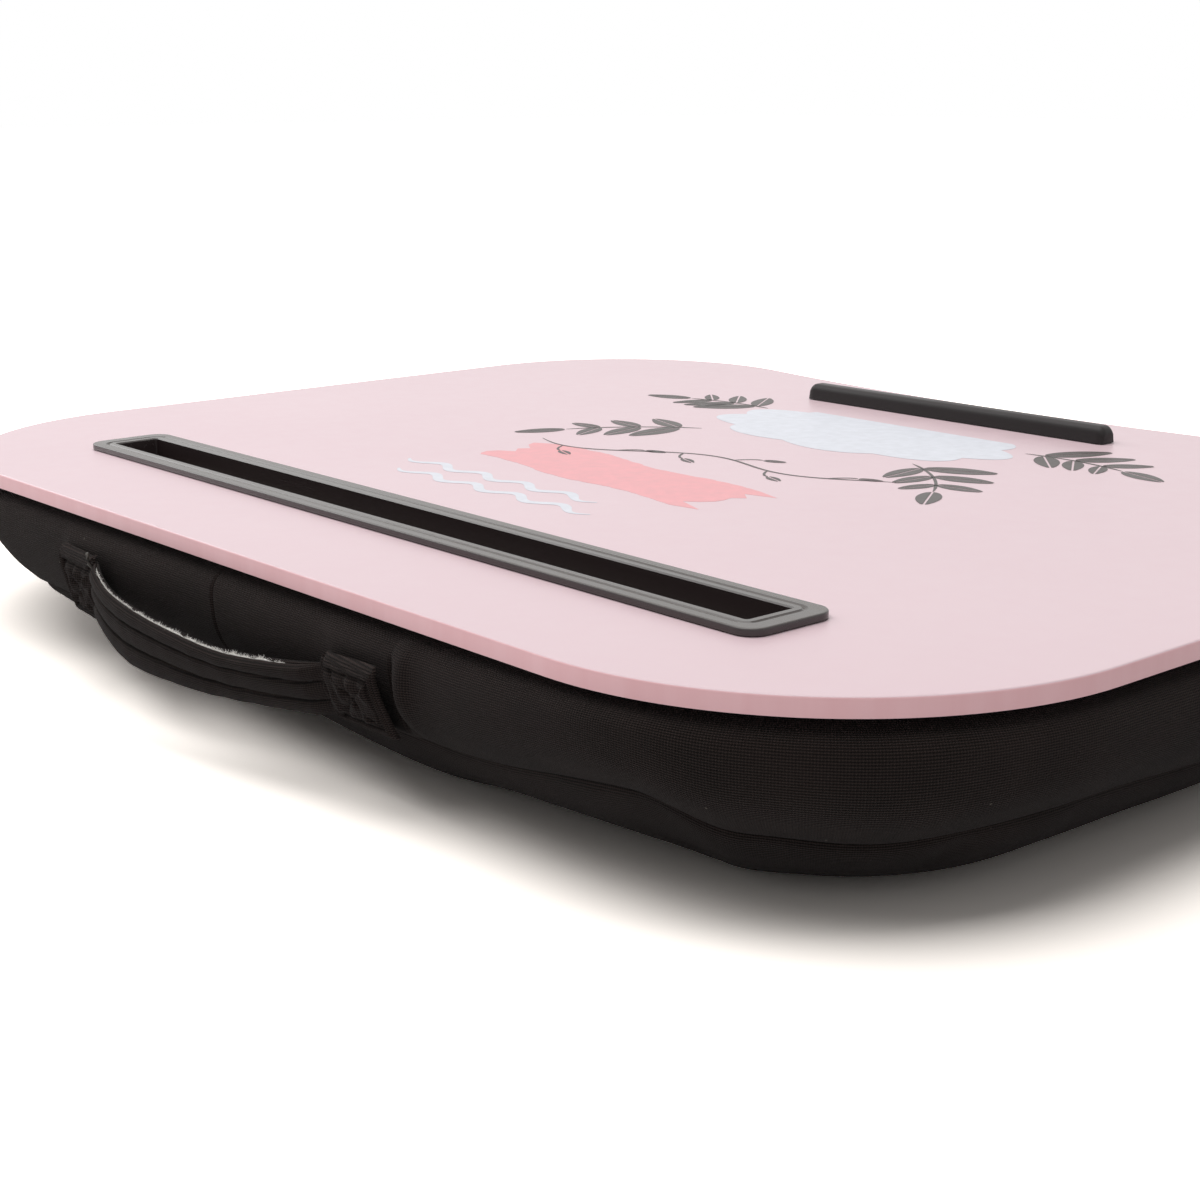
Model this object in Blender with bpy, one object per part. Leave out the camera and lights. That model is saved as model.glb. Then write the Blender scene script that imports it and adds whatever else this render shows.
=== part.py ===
"""Laptop tray: a painted board with a device slot and a stop ledge, on a bean-filled cushion.

Metres, +Z up. The origin is under the middle of the board, on the flat patch the cushion rests on.
+X is the user's right. +Y points away from the user, to the side with the slot and the handle.
"""
import math
from collections import namedtuple

import bpy
import bmesh
from mathutils import Vector

# The board
BOARD_WIDTH = 0.475
BOARD_DEPTH = 0.371
BOARD_THICKNESS = 0.005
BACK_CORNER_RADIUS = 0.0915
FRONT_CORNER_RADIUS = 0.084
FRONT_SCOOP = 0.0133  # the front edge is hollowed this far for the user's body
BOARD_EDGE_EASE = 0.0006

# Clearances
SEAT_GAP = 0.0003  # between pieces that touch on the real tray
FILL_GAP = 0.0005  # between the cover and the loose filling
CUT_OVERRUN = 0.002

# The slot for a tablet or phone, and the moulded tray that lines it
SLOT_LENGTH = 0.312
SLOT_WIDTH = 0.0145
SLOT_FROM_BACK = 0.0588  # board's back edge to the slot's middle
TRAY_RIM_END = 0.0104  # rim beyond the opening at its ends
TRAY_RIM_SIDE = 0.0073
TRAY_RIM_HEIGHT = 0.0028
TRAY_RIM_CORNER = 0.006
TRAY_RIM_EASE = 0.0004
TRAY_LIP_WIDTH = 0.0024  # band round the opening, inside the groove
TRAY_GROOVE_WIDTH = 0.0012
TRAY_GROOVE_DEPTH = 0.0005
TRAY_WALL = 0.0016
TRAY_FLOOR = 0.0014
TRAY_DRAFT = 0.0003
TRAY_OPENING_CORNER = 0.0006
CLIP_COUNT = 3  # on each long wall
CLIP_LENGTH = 0.012
CLIP_CATCH = 0.001  # reach under the board beyond the cut-out
CLIP_PITCH = 0.11

# The ledge that stops a laptop from sliding
LEDGE_LENGTH = 0.144
LEDGE_THICKNESS = 0.0088
LEDGE_HEIGHT = 0.0062
LEDGE_FROM_FRONT = 0.0478  # board's foremost edge to the ledge's middle
LEDGE_TOP_RADIUS = 0.0025
LEDGE_END_RADIUS = 0.003
LEDGE_DRAFT = 0.0004
SCREW_COUNT = 3
SCREW_PITCH = 0.06
SCREW_RADIUS = 0.0015
SCREW_HEAD_RADIUS = 0.003
SCREW_HEAD_HEIGHT = 0.0018
SCREW_REACH = 0.0042  # into the ledge
SCREW_TIP = 0.001
SCREW_TIP_RADIUS = 0.0005

# The hook-and-loop pads that hold the cushion
PAD_LENGTH = 0.08
PAD_WIDTH = 0.025
PAD_THICKNESS = 0.0012
PAD_CORNER = 0.004
PAD_FROM_SIDE = 0.105  # board's side edge to a pad's middle
PAD_FROM_BACK = 0.099
PAD_FROM_FRONT = 0.089

# The cushion
CUSHION_HEIGHT = 0.0535
FABRIC = 0.0015
LOWER_SEAM_HEIGHT = 0.022
SEAM_TUCK = 0.008  # the seams' inset from the board's edge
SEAM_GROOVE = 0.0006
BAND_BULGE = 0.0025  # how far the band stands past the board's edge on the straight runs
CORNER_DRAW = 0.005  # how much further in the sides are drawn at the corners
BELLY_REACH = 0.045  # from the lower seam in to the flat that rests on the floor
BELLY_POWER = 1.25
RIM_SLOPE = 0.014  # from the upper seam in to the flat under the pads
PUCKER_RISE = 0.0065  # a soft fold lifts the lower seam just round one corner
PUCKER_PAST_CORNER = 0.019
PUCKER_REACH_BACK = 0.07
PUCKER_REACH_SIDE = 0.034
BAND_SEAM_PUFF = 0.003  # fabric beside the upright seams stands full again

# The handle
HANDLE_SPAN = 0.124  # between the patches
HANDLE_MIDDLE_HEIGHT = 0.0345
PATCH_LENGTH = 0.026
PATCH_HEIGHT = 0.0212
PATCH_CORNER = 0.0024
PATCH_HEM = 0.0016
PATCH_THICKNESS = 0.0013
TAB_THICKNESS = 0.0015
STRAP_WIDTH = 0.0206
STRAP_BOW = 0.0135
STRAP_DROOP = 0.0048
STRAP_EXTRA_LEAN = math.radians(8)
STRAP_PLY = 0.001
STRAP_PADDING = 0.001
STRAP_RIDGE_BULGE = 0.0009
STRAP_RIDGES = 3
STRAP_HEM_RADIUS = 0.0012
PADDING_PROUD = 0.0004  # raw edge that stands out of the strap's open top

# Fineness
BOARD_ARC_STEPS = 22
CUSHION_ARC_STEPS = 9
CORNER_STEPS = 5
ROUND_STEPS = 16
BELLY_STEPS = 6
STRAP_STEPS = 20

# Shape of the band from the lower seam up to the upper one, as (height share, outward share)
BAND_SHARES = (
    (0.0, 0.0),
    (0.06, 0.36),
    (0.2, 0.70),
    (0.45, 0.93),
    (0.70, 1.0),
    (0.86, 0.97),
    (0.955, 0.68),
    (1.0, 0.12),
)
# Shape of the cover's top from the upper seam in to the flat, as (inward share, downward share)
RIM_SHARES = ((0.0, 0.0), (0.22, 0.05), (0.6, 0.6), (1.0, 1.0))

# Heights that the sizes above lead to
PAD_STACK = 2 * PAD_THICKNESS + 3 * SEAT_GAP
BOARD_BOTTOM = CUSHION_HEIGHT + SEAT_GAP
BOARD_TOP = BOARD_BOTTOM + BOARD_THICKNESS
COVER_FLAT_TOP = BOARD_BOTTOM - PAD_STACK
SLOT_Y = BOARD_DEPTH / 2 - SLOT_FROM_BACK
LEDGE_Y = LEDGE_FROM_FRONT - BOARD_DEPTH / 2

Station = namedtuple("Station", "x y out_x out_y turn run")


def clear_scene():
    for old in list(bpy.data.objects):
        bpy.data.objects.remove(old)


def linear(channel):
    share = channel / 255
    if share <= 0.04045:
        return share / 12.92
    return ((share + 0.055) / 1.055) ** 2.4


def finish(name, colour, roughness):
    material = bpy.data.materials.new(name)
    material.use_nodes = True
    shader = material.node_tree.nodes["Principled BSDF"]
    shader.inputs["Base Color"].default_value = [linear(c) for c in colour] + [1.0]
    shader.inputs["Roughness"].default_value = roughness
    material.diffuse_color = shader.inputs["Base Color"].default_value
    return material


def add_object(name, bm, material, origin=Vector((0, 0, 0))):
    """Make an object whose own origin lies at the given place."""
    bmesh.ops.recalc_face_normals(bm, faces=bm.faces)
    bmesh.ops.translate(bm, verts=bm.verts, vec=-origin)
    mesh = bpy.data.meshes.new(name)
    bm.to_mesh(mesh)
    bm.free()
    mesh.materials.append(material)
    mesh.shade_smooth()
    mesh.set_sharp_from_angle(angle=math.radians(35))
    made = bpy.data.objects.new(name, mesh)
    made.location = origin
    bpy.context.collection.objects.link(made)
    return made


def loft(bm, rings):
    """Join rings of equal count with quads and close the first and the last."""
    rows = [[bm.verts.new(point) for point in ring] for ring in rings]
    count = len(rows[0])
    for lower, upper in zip(rows, rows[1:]):
        for i in range(count):
            j = (i + 1) % count
            bm.faces.new((lower[i], lower[j], upper[j], upper[i]))
    bm.faces.new(rows[0])
    bm.faces.new(rows[-1])


def lofted(name, rings, material, origin=Vector((0, 0, 0))):
    bm = bmesh.new()
    loft(bm, rings)
    return add_object(name, bm, material, origin)


def cut(target, name, bm, operation="DIFFERENCE"):
    """Cut a shape out of an object, or join it on, and keep the shape as a hidden guide."""
    bmesh.ops.recalc_face_normals(bm, faces=bm.faces)
    mesh = bpy.data.meshes.new(name)
    bm.to_mesh(mesh)
    bm.free()
    guide = bpy.data.objects.new(name, mesh)
    guide.hide_render = True
    guide.display_type = "WIRE"
    bpy.context.collection.objects.link(guide)
    step = target.modifiers.new(name, "BOOLEAN")
    step.operation = operation
    step.solver = "EXACT"
    step.object = guide


def rounded_ring(half_x, half_y, corner, z, centre_x=0.0, centre_y=0.0):
    """A rectangle with round corners, level, anticlockwise from above."""
    ring = []
    for quarter in range(4):
        sign_x = 1 if quarter in (0, 3) else -1
        sign_y = 1 if quarter in (0, 1) else -1
        for step in range(CORNER_STEPS + 1):
            angle = math.pi / 2 * (quarter + step / CORNER_STEPS)
            x = centre_x + sign_x * (half_x - corner) + corner * math.cos(angle)
            y = centre_y + sign_y * (half_y - corner) + corner * math.sin(angle)
            ring.append((x, y, z))
    return ring


def circle_ring(radius, x, y, z):
    turns = [2 * math.pi * step / ROUND_STEPS for step in range(ROUND_STEPS)]
    return [(x + radius * math.cos(turn), y + radius * math.sin(turn), z) for turn in turns]


def along(start, end, steps):
    """Values strictly between two ends."""
    return [start + (end - start) * step / steps for step in range(1, steps)]


def edge_stations(arc_steps, run_steps):
    """Places round the board's edge from the middle of the back, anticlockwise from above.

    Each has its outward direction, how far into a corner's turn it is (0, up to 1, back to 0) and
    its distance along the edge from the middle of the back, negative on the user's right.
    """
    half_width = BOARD_WIDTH / 2
    half_depth = BOARD_DEPTH / 2
    back_x = half_width - BACK_CORNER_RADIUS
    back_y = half_depth - BACK_CORNER_RADIUS
    front_x = half_width - FRONT_CORNER_RADIUS
    front_y = FRONT_CORNER_RADIUS - half_depth
    reach = (front_x ** 2 / FRONT_SCOOP + FRONT_SCOOP) / 2
    scoop_radius = reach - FRONT_CORNER_RADIUS
    scoop_y = FRONT_SCOOP - half_depth - scoop_radius
    scoop_angle = math.atan2(front_x, reach - FRONT_SCOOP)
    half = []
    for x in [0.0, BAND_SEAM_PUFF] + along(BAND_SEAM_PUFF, back_x, run_steps):
        half.append(Station(-x, half_depth, 0.0, 1.0, 0.0, x))
    for step in range(arc_steps + 1):
        angle = math.pi / 2 * step / arc_steps
        out = (-math.sin(angle), math.cos(angle))
        turn = math.sin(math.pi * step / arc_steps) ** 2
        half.append(Station(-back_x + BACK_CORNER_RADIUS * out[0], back_y + BACK_CORNER_RADIUS * out[1],
                            *out, turn, back_x + BACK_CORNER_RADIUS * angle))
    side_start = back_x + BACK_CORNER_RADIUS * math.pi / 2
    for y in along(back_y, front_y, run_steps):
        half.append(Station(-half_width, y, -1.0, 0.0, 0.0, side_start + back_y - y))
    front_start = side_start + back_y - front_y
    for step in range(arc_steps + 1):
        angle = (math.pi / 2 + scoop_angle) * step / arc_steps
        out = (-math.cos(angle), -math.sin(angle))
        turn = math.sin(math.pi * step / arc_steps) ** 2
        half.append(Station(-front_x + FRONT_CORNER_RADIUS * out[0],
                            front_y + FRONT_CORNER_RADIUS * out[1],
                            *out, turn, front_start + FRONT_CORNER_RADIUS * angle))
    scoop_start = half[-1].run
    puff_angle = BAND_SEAM_PUFF / scoop_radius
    for angle in along(scoop_angle, puff_angle, run_steps) + [puff_angle, 0.0]:
        out = (math.sin(angle), -math.cos(angle))
        half.append(Station(-scoop_radius * out[0], scoop_y - scoop_radius * out[1], *out, 0.0,
                            scoop_start + scoop_radius * (scoop_angle - angle)))
    other = [Station(-s.x, s.y, -s.out_x, s.out_y, s.turn, -s.run) for s in reversed(half[1:-1])]
    return half, other


def edge_ring(stations, inset, z):
    return [(s.x - s.out_x * inset, s.y - s.out_y * inset, z) for s in stations]


def make_board(material):
    """MDF panel with eased edges, cut through for the slot tray and for the ledge's screws."""
    half, other = edge_stations(BOARD_ARC_STEPS, 2)
    stations = half + other
    rings = [
        edge_ring(stations, BOARD_EDGE_EASE, BOARD_BOTTOM),
        edge_ring(stations, 0, BOARD_BOTTOM + BOARD_EDGE_EASE),
        edge_ring(stations, 0, BOARD_TOP - BOARD_EDGE_EASE),
        edge_ring(stations, BOARD_EDGE_EASE, BOARD_TOP),
    ]
    board = lofted("top_board", rings, material)
    margin = TRAY_WALL + SEAT_GAP
    bm = bmesh.new()
    loft(bm, [rounded_ring(SLOT_LENGTH / 2 + margin, SLOT_WIDTH / 2 + margin,
                           TRAY_OPENING_CORNER + margin, z, 0.0, SLOT_Y)
              for z in (BOARD_BOTTOM - CUT_OVERRUN, BOARD_TOP + CUT_OVERRUN)])
    cut(board, "slot_cutter", bm)
    bm = bmesh.new()
    for x in screw_places():
        loft(bm, [circle_ring(SCREW_RADIUS + SEAT_GAP, x, LEDGE_Y, z)
                  for z in (BOARD_BOTTOM - CUT_OVERRUN, BOARD_TOP + CUT_OVERRUN)])
    cut(board, "screw_hole_cutter", bm)


def make_slot_tray(material):
    """Moulded lining of the slot: grooved rim, drafted well and clips that catch under the board."""
    underside = COVER_FLAT_TOP + SEAT_GAP
    rim_bottom = BOARD_TOP + SEAT_GAP
    rim_top = rim_bottom + TRAY_RIM_HEIGHT
    groove_out = TRAY_LIP_WIDTH + TRAY_GROOVE_WIDTH

    def ring(end, side, corner, z):
        return rounded_ring(SLOT_LENGTH / 2 + end, SLOT_WIDTH / 2 + side, corner, z, 0.0, SLOT_Y)

    def even_ring(out, z):
        return ring(out, out, max(TRAY_OPENING_CORNER + out, TRAY_OPENING_CORNER), z)

    rings = [
        even_ring(TRAY_WALL - TRAY_RIM_EASE, underside),
        even_ring(TRAY_WALL, underside + TRAY_RIM_EASE),
        even_ring(TRAY_WALL, rim_bottom),
        ring(TRAY_RIM_END, TRAY_RIM_SIDE, TRAY_RIM_CORNER, rim_bottom),
        ring(TRAY_RIM_END, TRAY_RIM_SIDE, TRAY_RIM_CORNER, rim_top - TRAY_RIM_EASE),
        ring(TRAY_RIM_END - TRAY_RIM_EASE, TRAY_RIM_SIDE - TRAY_RIM_EASE,
             TRAY_RIM_CORNER - TRAY_RIM_EASE, rim_top),
        even_ring(groove_out, rim_top),
        even_ring(groove_out - TRAY_GROOVE_WIDTH / 2, rim_top - TRAY_GROOVE_DEPTH),
        even_ring(TRAY_LIP_WIDTH, rim_top),
        even_ring(0, rim_top),
        ring(-TRAY_DRAFT, -TRAY_DRAFT, TRAY_OPENING_CORNER, underside + TRAY_FLOOR),
    ]
    tray = lofted("slot_tray", rings, material)
    wall = SLOT_WIDTH / 2 + TRAY_WALL
    catch_z = BOARD_BOTTOM - SEAT_GAP
    bm = bmesh.new()
    for side in (-1, 1):
        for index in range(CLIP_COUNT):
            middle = CLIP_PITCH * (index - (CLIP_COUNT - 1) / 2)
            outline = ((wall - TRAY_WALL / 2, underside + TRAY_RIM_EASE),
                       (wall, underside + TRAY_RIM_EASE),
                       (wall + SEAT_GAP + CLIP_CATCH, catch_z - TRAY_RIM_EASE),
                       (wall + SEAT_GAP + CLIP_CATCH, catch_z),
                       (wall - TRAY_WALL / 2, catch_z))
            loft(bm, [[(x, SLOT_Y + side * y, z) for y, z in outline]
                      for x in (middle - CLIP_LENGTH / 2, middle + CLIP_LENGTH / 2)])
    cut(tray, "tray_clips", bm, "UNION")


def screw_places():
    return [SCREW_PITCH * (index - (SCREW_COUNT - 1) / 2) for index in range(SCREW_COUNT)]


def make_ledge(material):
    """Soft-cornered moulded bar with blind holes for its screws."""
    base = BOARD_TOP + SEAT_GAP

    def section(x, lost):
        """Upright slice, whose top is lowered and whose sides are drawn in near the ends."""
        height = LEDGE_HEIGHT - lost
        half = (LEDGE_THICKNESS - lost * LEDGE_TOP_RADIUS / LEDGE_END_RADIUS) / 2
        radius = min(LEDGE_TOP_RADIUS, height / 2)
        points = [(x, LEDGE_Y - half, base), (x, LEDGE_Y + half, base)]
        for step in range(CORNER_STEPS + 1):
            angle = math.pi / 2 * step / CORNER_STEPS
            points.append((x, LEDGE_Y + half - LEDGE_DRAFT - radius * (1 - math.cos(angle)),
                           base + height - radius * (1 - math.sin(angle))))
        for step in range(CORNER_STEPS + 1):
            angle = math.pi / 2 * step / CORNER_STEPS
            points.append((x, LEDGE_Y - half + LEDGE_DRAFT + radius * (1 - math.sin(angle)),
                           base + height - radius * (1 - math.cos(angle))))
        return points

    turns = [math.pi / 2 * step / CORNER_STEPS for step in range(CORNER_STEPS + 1)]
    ends = [(LEDGE_LENGTH / 2 - LEDGE_END_RADIUS * (1 - math.sin(turn)),
             LEDGE_END_RADIUS * (1 - math.cos(turn))) for turn in turns]
    slices = [section(-x, lost) for x, lost in reversed(ends)] + [section(x, lost) for x, lost in ends]
    ledge = lofted("stop_ledge", slices, material)
    bm = bmesh.new()
    for x in screw_places():
        loft(bm, [circle_ring(SCREW_RADIUS + SEAT_GAP, x, LEDGE_Y, z)
                  for z in (base - CUT_OVERRUN, base + SCREW_REACH + SEAT_GAP)])
    cut(ledge, "ledge_bore_cutter", bm)


def make_screws(material):
    """Pan-head screws, up through the board into the ledge."""
    head_top = BOARD_BOTTOM - SEAT_GAP
    head_bottom = head_top - SCREW_HEAD_HEIGHT
    tip = BOARD_TOP + SEAT_GAP + SCREW_REACH
    profile = ((SCREW_HEAD_RADIUS / 2, head_bottom),
               (SCREW_HEAD_RADIUS * 5 / 6, head_bottom + SCREW_HEAD_HEIGHT / 4),
               (SCREW_HEAD_RADIUS, head_top - SCREW_HEAD_HEIGHT / 3), (SCREW_HEAD_RADIUS, head_top),
               (SCREW_RADIUS, head_top), (SCREW_RADIUS, tip - SCREW_TIP), (SCREW_TIP_RADIUS, tip))
    for number, x in enumerate(screw_places(), 1):
        rings = [circle_ring(radius, x, LEDGE_Y, z) for radius, z in profile]
        lofted(f"ledge_screw_{number}", rings, material)


def make_pads(hook_material, loop_material):
    """Hook pads glued under the board, each over a loop pad sewn to the cover's top."""
    x = BOARD_WIDTH / 2 - PAD_FROM_SIDE
    back = BOARD_DEPTH / 2 - PAD_FROM_BACK
    front = PAD_FROM_FRONT - BOARD_DEPTH / 2
    places = {
        "back_left": (-x, back),
        "back_right": (x, back),
        "front_left": (-x, front),
        "front_right": (x, front),
    }
    loop_base = COVER_FLAT_TOP + SEAT_GAP
    hook_base = loop_base + PAD_THICKNESS + SEAT_GAP
    for place, (pad_x, pad_y) in places.items():
        for kind, base, material in (("loop", loop_base, loop_material),
                                     ("hook", hook_base, hook_material)):
            rings = [rounded_ring(PAD_LENGTH / 2, PAD_WIDTH / 2, PAD_CORNER, z, pad_x, pad_y)
                     for z in (base, base + PAD_THICKNESS)]
            lofted(f"{kind}_pad_{place}", rings, material)


def seam_rise(station):
    """Height that the one soft pucker adds to the lower seam."""
    away = station.run - (BOARD_WIDTH / 2 - BACK_CORNER_RADIUS + PUCKER_PAST_CORNER)
    reach = PUCKER_REACH_BACK if away < 0 else PUCKER_REACH_SIDE
    if abs(away) >= reach:
        return 0.0
    return PUCKER_RISE * math.cos(math.pi / 2 * away / reach) ** 2


def cover_section(station):
    """Outside of the cover at one station, as (inset, height) points: bottom, band and top."""
    seam_inset = SEAM_TUCK + CORNER_DRAW * station.turn
    seam_height = LOWER_SEAM_HEIGHT + seam_rise(station)
    bottom = []
    for step in range(BELLY_STEPS + 1):
        angle = math.pi / 2 * (1 - step / BELLY_STEPS)
        bottom.append((seam_inset + BELLY_REACH * (1 - math.cos(angle) ** BELLY_POWER),
                       seam_height * (1 - math.sin(angle) ** BELLY_POWER)))
    bottom[-1] = (seam_inset + SEAM_GROOVE, seam_height)
    band = [bottom[-1]]
    for height_share, out_share in BAND_SHARES[1:]:
        band.append((seam_inset - (SEAM_TUCK + BAND_BULGE) * out_share,
                     seam_height + (CUSHION_HEIGHT - seam_height) * height_share))
    band[-1] = (band[-1][0], CUSHION_HEIGHT - SEAM_GROOVE)
    top = [band[-1]]
    for in_share, down_share in RIM_SHARES[1:]:
        top.append((band[-1][0] + RIM_SLOPE * in_share,
                    CUSHION_HEIGHT + (COVER_FLAT_TOP - CUSHION_HEIGHT) * down_share))
    return bottom, band, top


def inside(section, depth):
    """The whole section moved into the cushion by a depth, square to the surface."""
    ways = [(-1.0, 0.0)]
    for (inset, height), (next_inset, next_height) in zip(section, section[1:]):
        length = math.hypot(next_inset - inset, next_height - height)
        ways.append(((next_inset - inset) / length, (next_height - height) / length))
    ways.append((1.0, 0.0))
    moved = []
    for (inset, height), before, after in zip(section, ways, ways[1:]):
        normal = (before[1] + after[1], -before[0] - after[0])
        scale = 2 * depth / (normal[0] ** 2 + normal[1] ** 2)
        moved.append((inset + normal[0] * scale, height + normal[1] * scale))
    return moved


def part_way(start, end, distance):
    length = math.hypot(end[0] - start[0], end[1] - start[1])
    return tuple(a + (b - a) * distance / length for a, b in zip(start, end))


def open_seams(line, at_start, at_end):
    """Draw a piece's seam ends back so that it stays clear of the piece it is sewn to."""
    line = list(line)
    if at_start:
        line[0] = part_way(line[0], line[1], SEAT_GAP / 2)
    if at_end:
        line[-1] = part_way(line[-1], line[-2], SEAT_GAP / 2)
    return line


def cover_pieces(station):
    """Closed loops of the three cover pieces at one station, and the filling's line."""
    bottom, band, top = cover_section(station)
    whole = bottom + band[1:] + top[1:]
    lining = inside(whole, FABRIC)
    first_seam = len(bottom) - 1
    last_seam = first_seam + len(band) - 1
    loops = []
    for outer, inner, at_start, at_end in (
            (bottom, lining[:first_seam + 1], False, True),
            (band, lining[first_seam:last_seam + 1], True, True),
            (top, lining[last_seam:], True, False)):
        outer = open_seams(outer, at_start, at_end)
        inner = open_seams(inner, at_start, at_end)
        loops.append((outer, inner))
    return loops, inside(whole, FABRIC + FILL_GAP)


def placed(station, point):
    inset, height = point
    return (station.x - station.out_x * inset, station.y - station.out_y * inset, height)


def make_cushion(fabric, bead_material):
    """Cover of a bottom panel, two half bands and a top panel, round the bead filling."""
    half, other = edge_stations(CUSHION_ARC_STEPS, 4)
    stations = half + other
    loops = [cover_pieces(station) for station in stations]

    def around(piece, layer, index):
        return [placed(s, loop[0][piece][layer][index]) for s, loop in zip(stations, loops)]

    bottom_count = len(loops[0][0][0][0])
    rings = [around(0, 0, i) for i in range(bottom_count)]
    rings += [around(0, 1, i) for i in reversed(range(bottom_count))]
    lofted("cover_bottom_panel", rings, fabric)

    top_count = len(loops[0][0][2][0])
    rings = [around(2, 1, i) for i in reversed(range(top_count))]
    rings += [around(2, 0, i) for i in range(top_count)]
    lofted("cover_top_panel", rings, fabric)

    fill_count = len(loops[0][1])
    rings = [[placed(s, loop[1][i]) for s, loop in zip(stations, loops)] for i in range(fill_count)]
    lofted("bead_filling", rings, bead_material)

    for name, side in (("cover_band_left", 1), ("cover_band_right", -1)):
        slices = []
        for index, station in enumerate(half):
            outer, inner = cover_pieces(station._replace(run=side * station.run))[0][1]
            seam = index in (0, len(half) - 1)
            if seam:
                outer[1:-1] = [(inset + SEAM_GROOVE, height) for inset, height in outer[1:-1]]
            points = [placed(station, point) for point in outer + inner[::-1]]
            if seam:
                points = [(-SEAT_GAP / 2, y, z) for x, y, z in points]
            slices.append([(side * x, y, z) for x, y, z in points])
        lofted(name, slices, fabric)


def back_face(height):
    """Y of the band's outside at a height, on the straight run across the back."""
    band = cover_section(Station(0.0, BOARD_DEPTH / 2, 0.0, 1.0, 0.0, 0.0))[1]
    for (inset, low), (next_inset, high) in zip(band, band[1:]):
        if low <= height <= high:
            share = (height - low) / (high - low)
            return BOARD_DEPTH / 2 - inset - (next_inset - inset) * share
    return BOARD_DEPTH / 2 - band[-1][0]


def handle_seat():
    """Plane that the handle is sewn on: a point at mid height, and its lean from upright."""
    low = HANDLE_MIDDLE_HEIGHT - PATCH_HEIGHT / 2
    high = HANDLE_MIDDLE_HEIGHT + PATCH_HEIGHT / 2
    lean = math.atan2(back_face(high) - back_face(low), high - low)
    heights = [low, *along(low, high, BELLY_STEPS), high]
    proud = max(back_face(z) - (z - HANDLE_MIDDLE_HEIGHT) * math.tan(lean) for z in heights)
    return Vector((0, proud + SEAT_GAP / math.cos(lean), HANDLE_MIDDLE_HEIGHT)), lean


def leaning(base, lean, x, out, up):
    """Point at a distance out from and up along a plane that leans out at its top."""
    return base + Vector((x, out * math.cos(lean) + up * math.sin(lean),
                          up * math.cos(lean) - out * math.sin(lean)))


def make_patches(material):
    """Sewn squares of doubled fabric over the strap's flattened ends."""
    base, lean = handle_seat()
    roof = TAB_THICKNESS + SEAT_GAP
    for name, side in (("left", -1), ("right", 1)):
        centre = side * (HANDLE_SPAN + PATCH_LENGTH) / 2

        def ring(inset, out):
            flat = rounded_ring(PATCH_LENGTH / 2 - inset, PATCH_HEIGHT / 2 - inset,
                                max(PATCH_CORNER - inset, PATCH_CORNER / 4), 0.0, centre, 0.0)
            return [leaning(base, lean, x, out, up) for x, up, _ in flat]

        rings = [
            ring(PATCH_HEM, roof),
            ring(PATCH_HEM, 0),
            ring(PATCH_HEM / 4, 0),
            ring(0, PATCH_THICKNESS / 4),
            ring(0, PATCH_THICKNESS),
            ring(PATCH_HEM / 2, roof + PATCH_THICKNESS * 3 / 4),
            ring(PATCH_HEM, roof + PATCH_THICKNESS),
        ]
        lofted(f"handle_patch_{name}", rings, material)
        tab_inset = PATCH_HEM + SEAT_GAP
        lofted(f"strap_end_{name}", [ring(tab_inset, 0), ring(tab_inset, TAB_THICKNESS)], material)


def strap_slices(outline):
    """Copies of an (out, up) outline along the strap, which bows out, droops and leans."""
    base, seat_lean = handle_seat()
    half = HANDLE_SPAN / 2 - SEAT_GAP
    slices = []
    for step in range(STRAP_STEPS + 1):
        share = 2 * step / STRAP_STEPS - 1
        arch = 1 - share ** 2
        place = base + Vector((0, STRAP_BOW * arch, -STRAP_DROOP * arch))
        lean = seat_lean + STRAP_EXTRA_LEAN * arch
        slices.append([leaning(place, lean, half * share, out, up) for out, up in outline])
    return slices


def make_strap(fabric, padding_material):
    """Strap folded round its padding, open at the top, quilted into ridges, hinged at its ends."""
    top = STRAP_WIDTH / 2
    slot_in = STRAP_PLY
    slot_out = STRAP_PLY + STRAP_PADDING + 2 * SEAT_GAP
    face = slot_out + STRAP_PLY
    slot_floor = STRAP_PLY - top
    outline = [(0, top), (0, STRAP_HEM_RADIUS - top), (STRAP_HEM_RADIUS, -top),
               (face - STRAP_HEM_RADIUS, -top)]
    ridge = (2 * top - STRAP_HEM_RADIUS) / STRAP_RIDGES
    for index in range(STRAP_RIDGES):
        valley = STRAP_HEM_RADIUS - top + index * ridge
        outline += [(face, valley), (face + STRAP_RIDGE_BULGE * 3 / 4, valley + ridge / 4),
                    (face + STRAP_RIDGE_BULGE, valley + ridge / 2),
                    (face + STRAP_RIDGE_BULGE * 3 / 4, valley + ridge * 3 / 4)]
    outline += [(face, top), (slot_out, top), (slot_out, slot_floor), (slot_in, slot_floor), (slot_in, top)]
    padding = [(slot_in + SEAT_GAP, slot_floor + SEAT_GAP), (slot_out - SEAT_GAP, slot_floor + SEAT_GAP),
               (slot_out - SEAT_GAP, top + PADDING_PROUD), (slot_in + SEAT_GAP, top + PADDING_PROUD)]

    base, lean = handle_seat()
    pivot = leaning(base, lean, 0.0, 0.0, top)
    hinge = bpy.data.objects.new("handle_hinge", None)
    hinge.location = pivot
    bpy.context.collection.objects.link(hinge)
    for name, shape, material in (("handle_strap", outline, fabric),
                                  ("handle_padding", padding, padding_material)):
        piece = lofted(name, strap_slices(shape), material, pivot)
        piece.location = Vector((0, 0, 0))
        piece.parent = hinge


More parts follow.
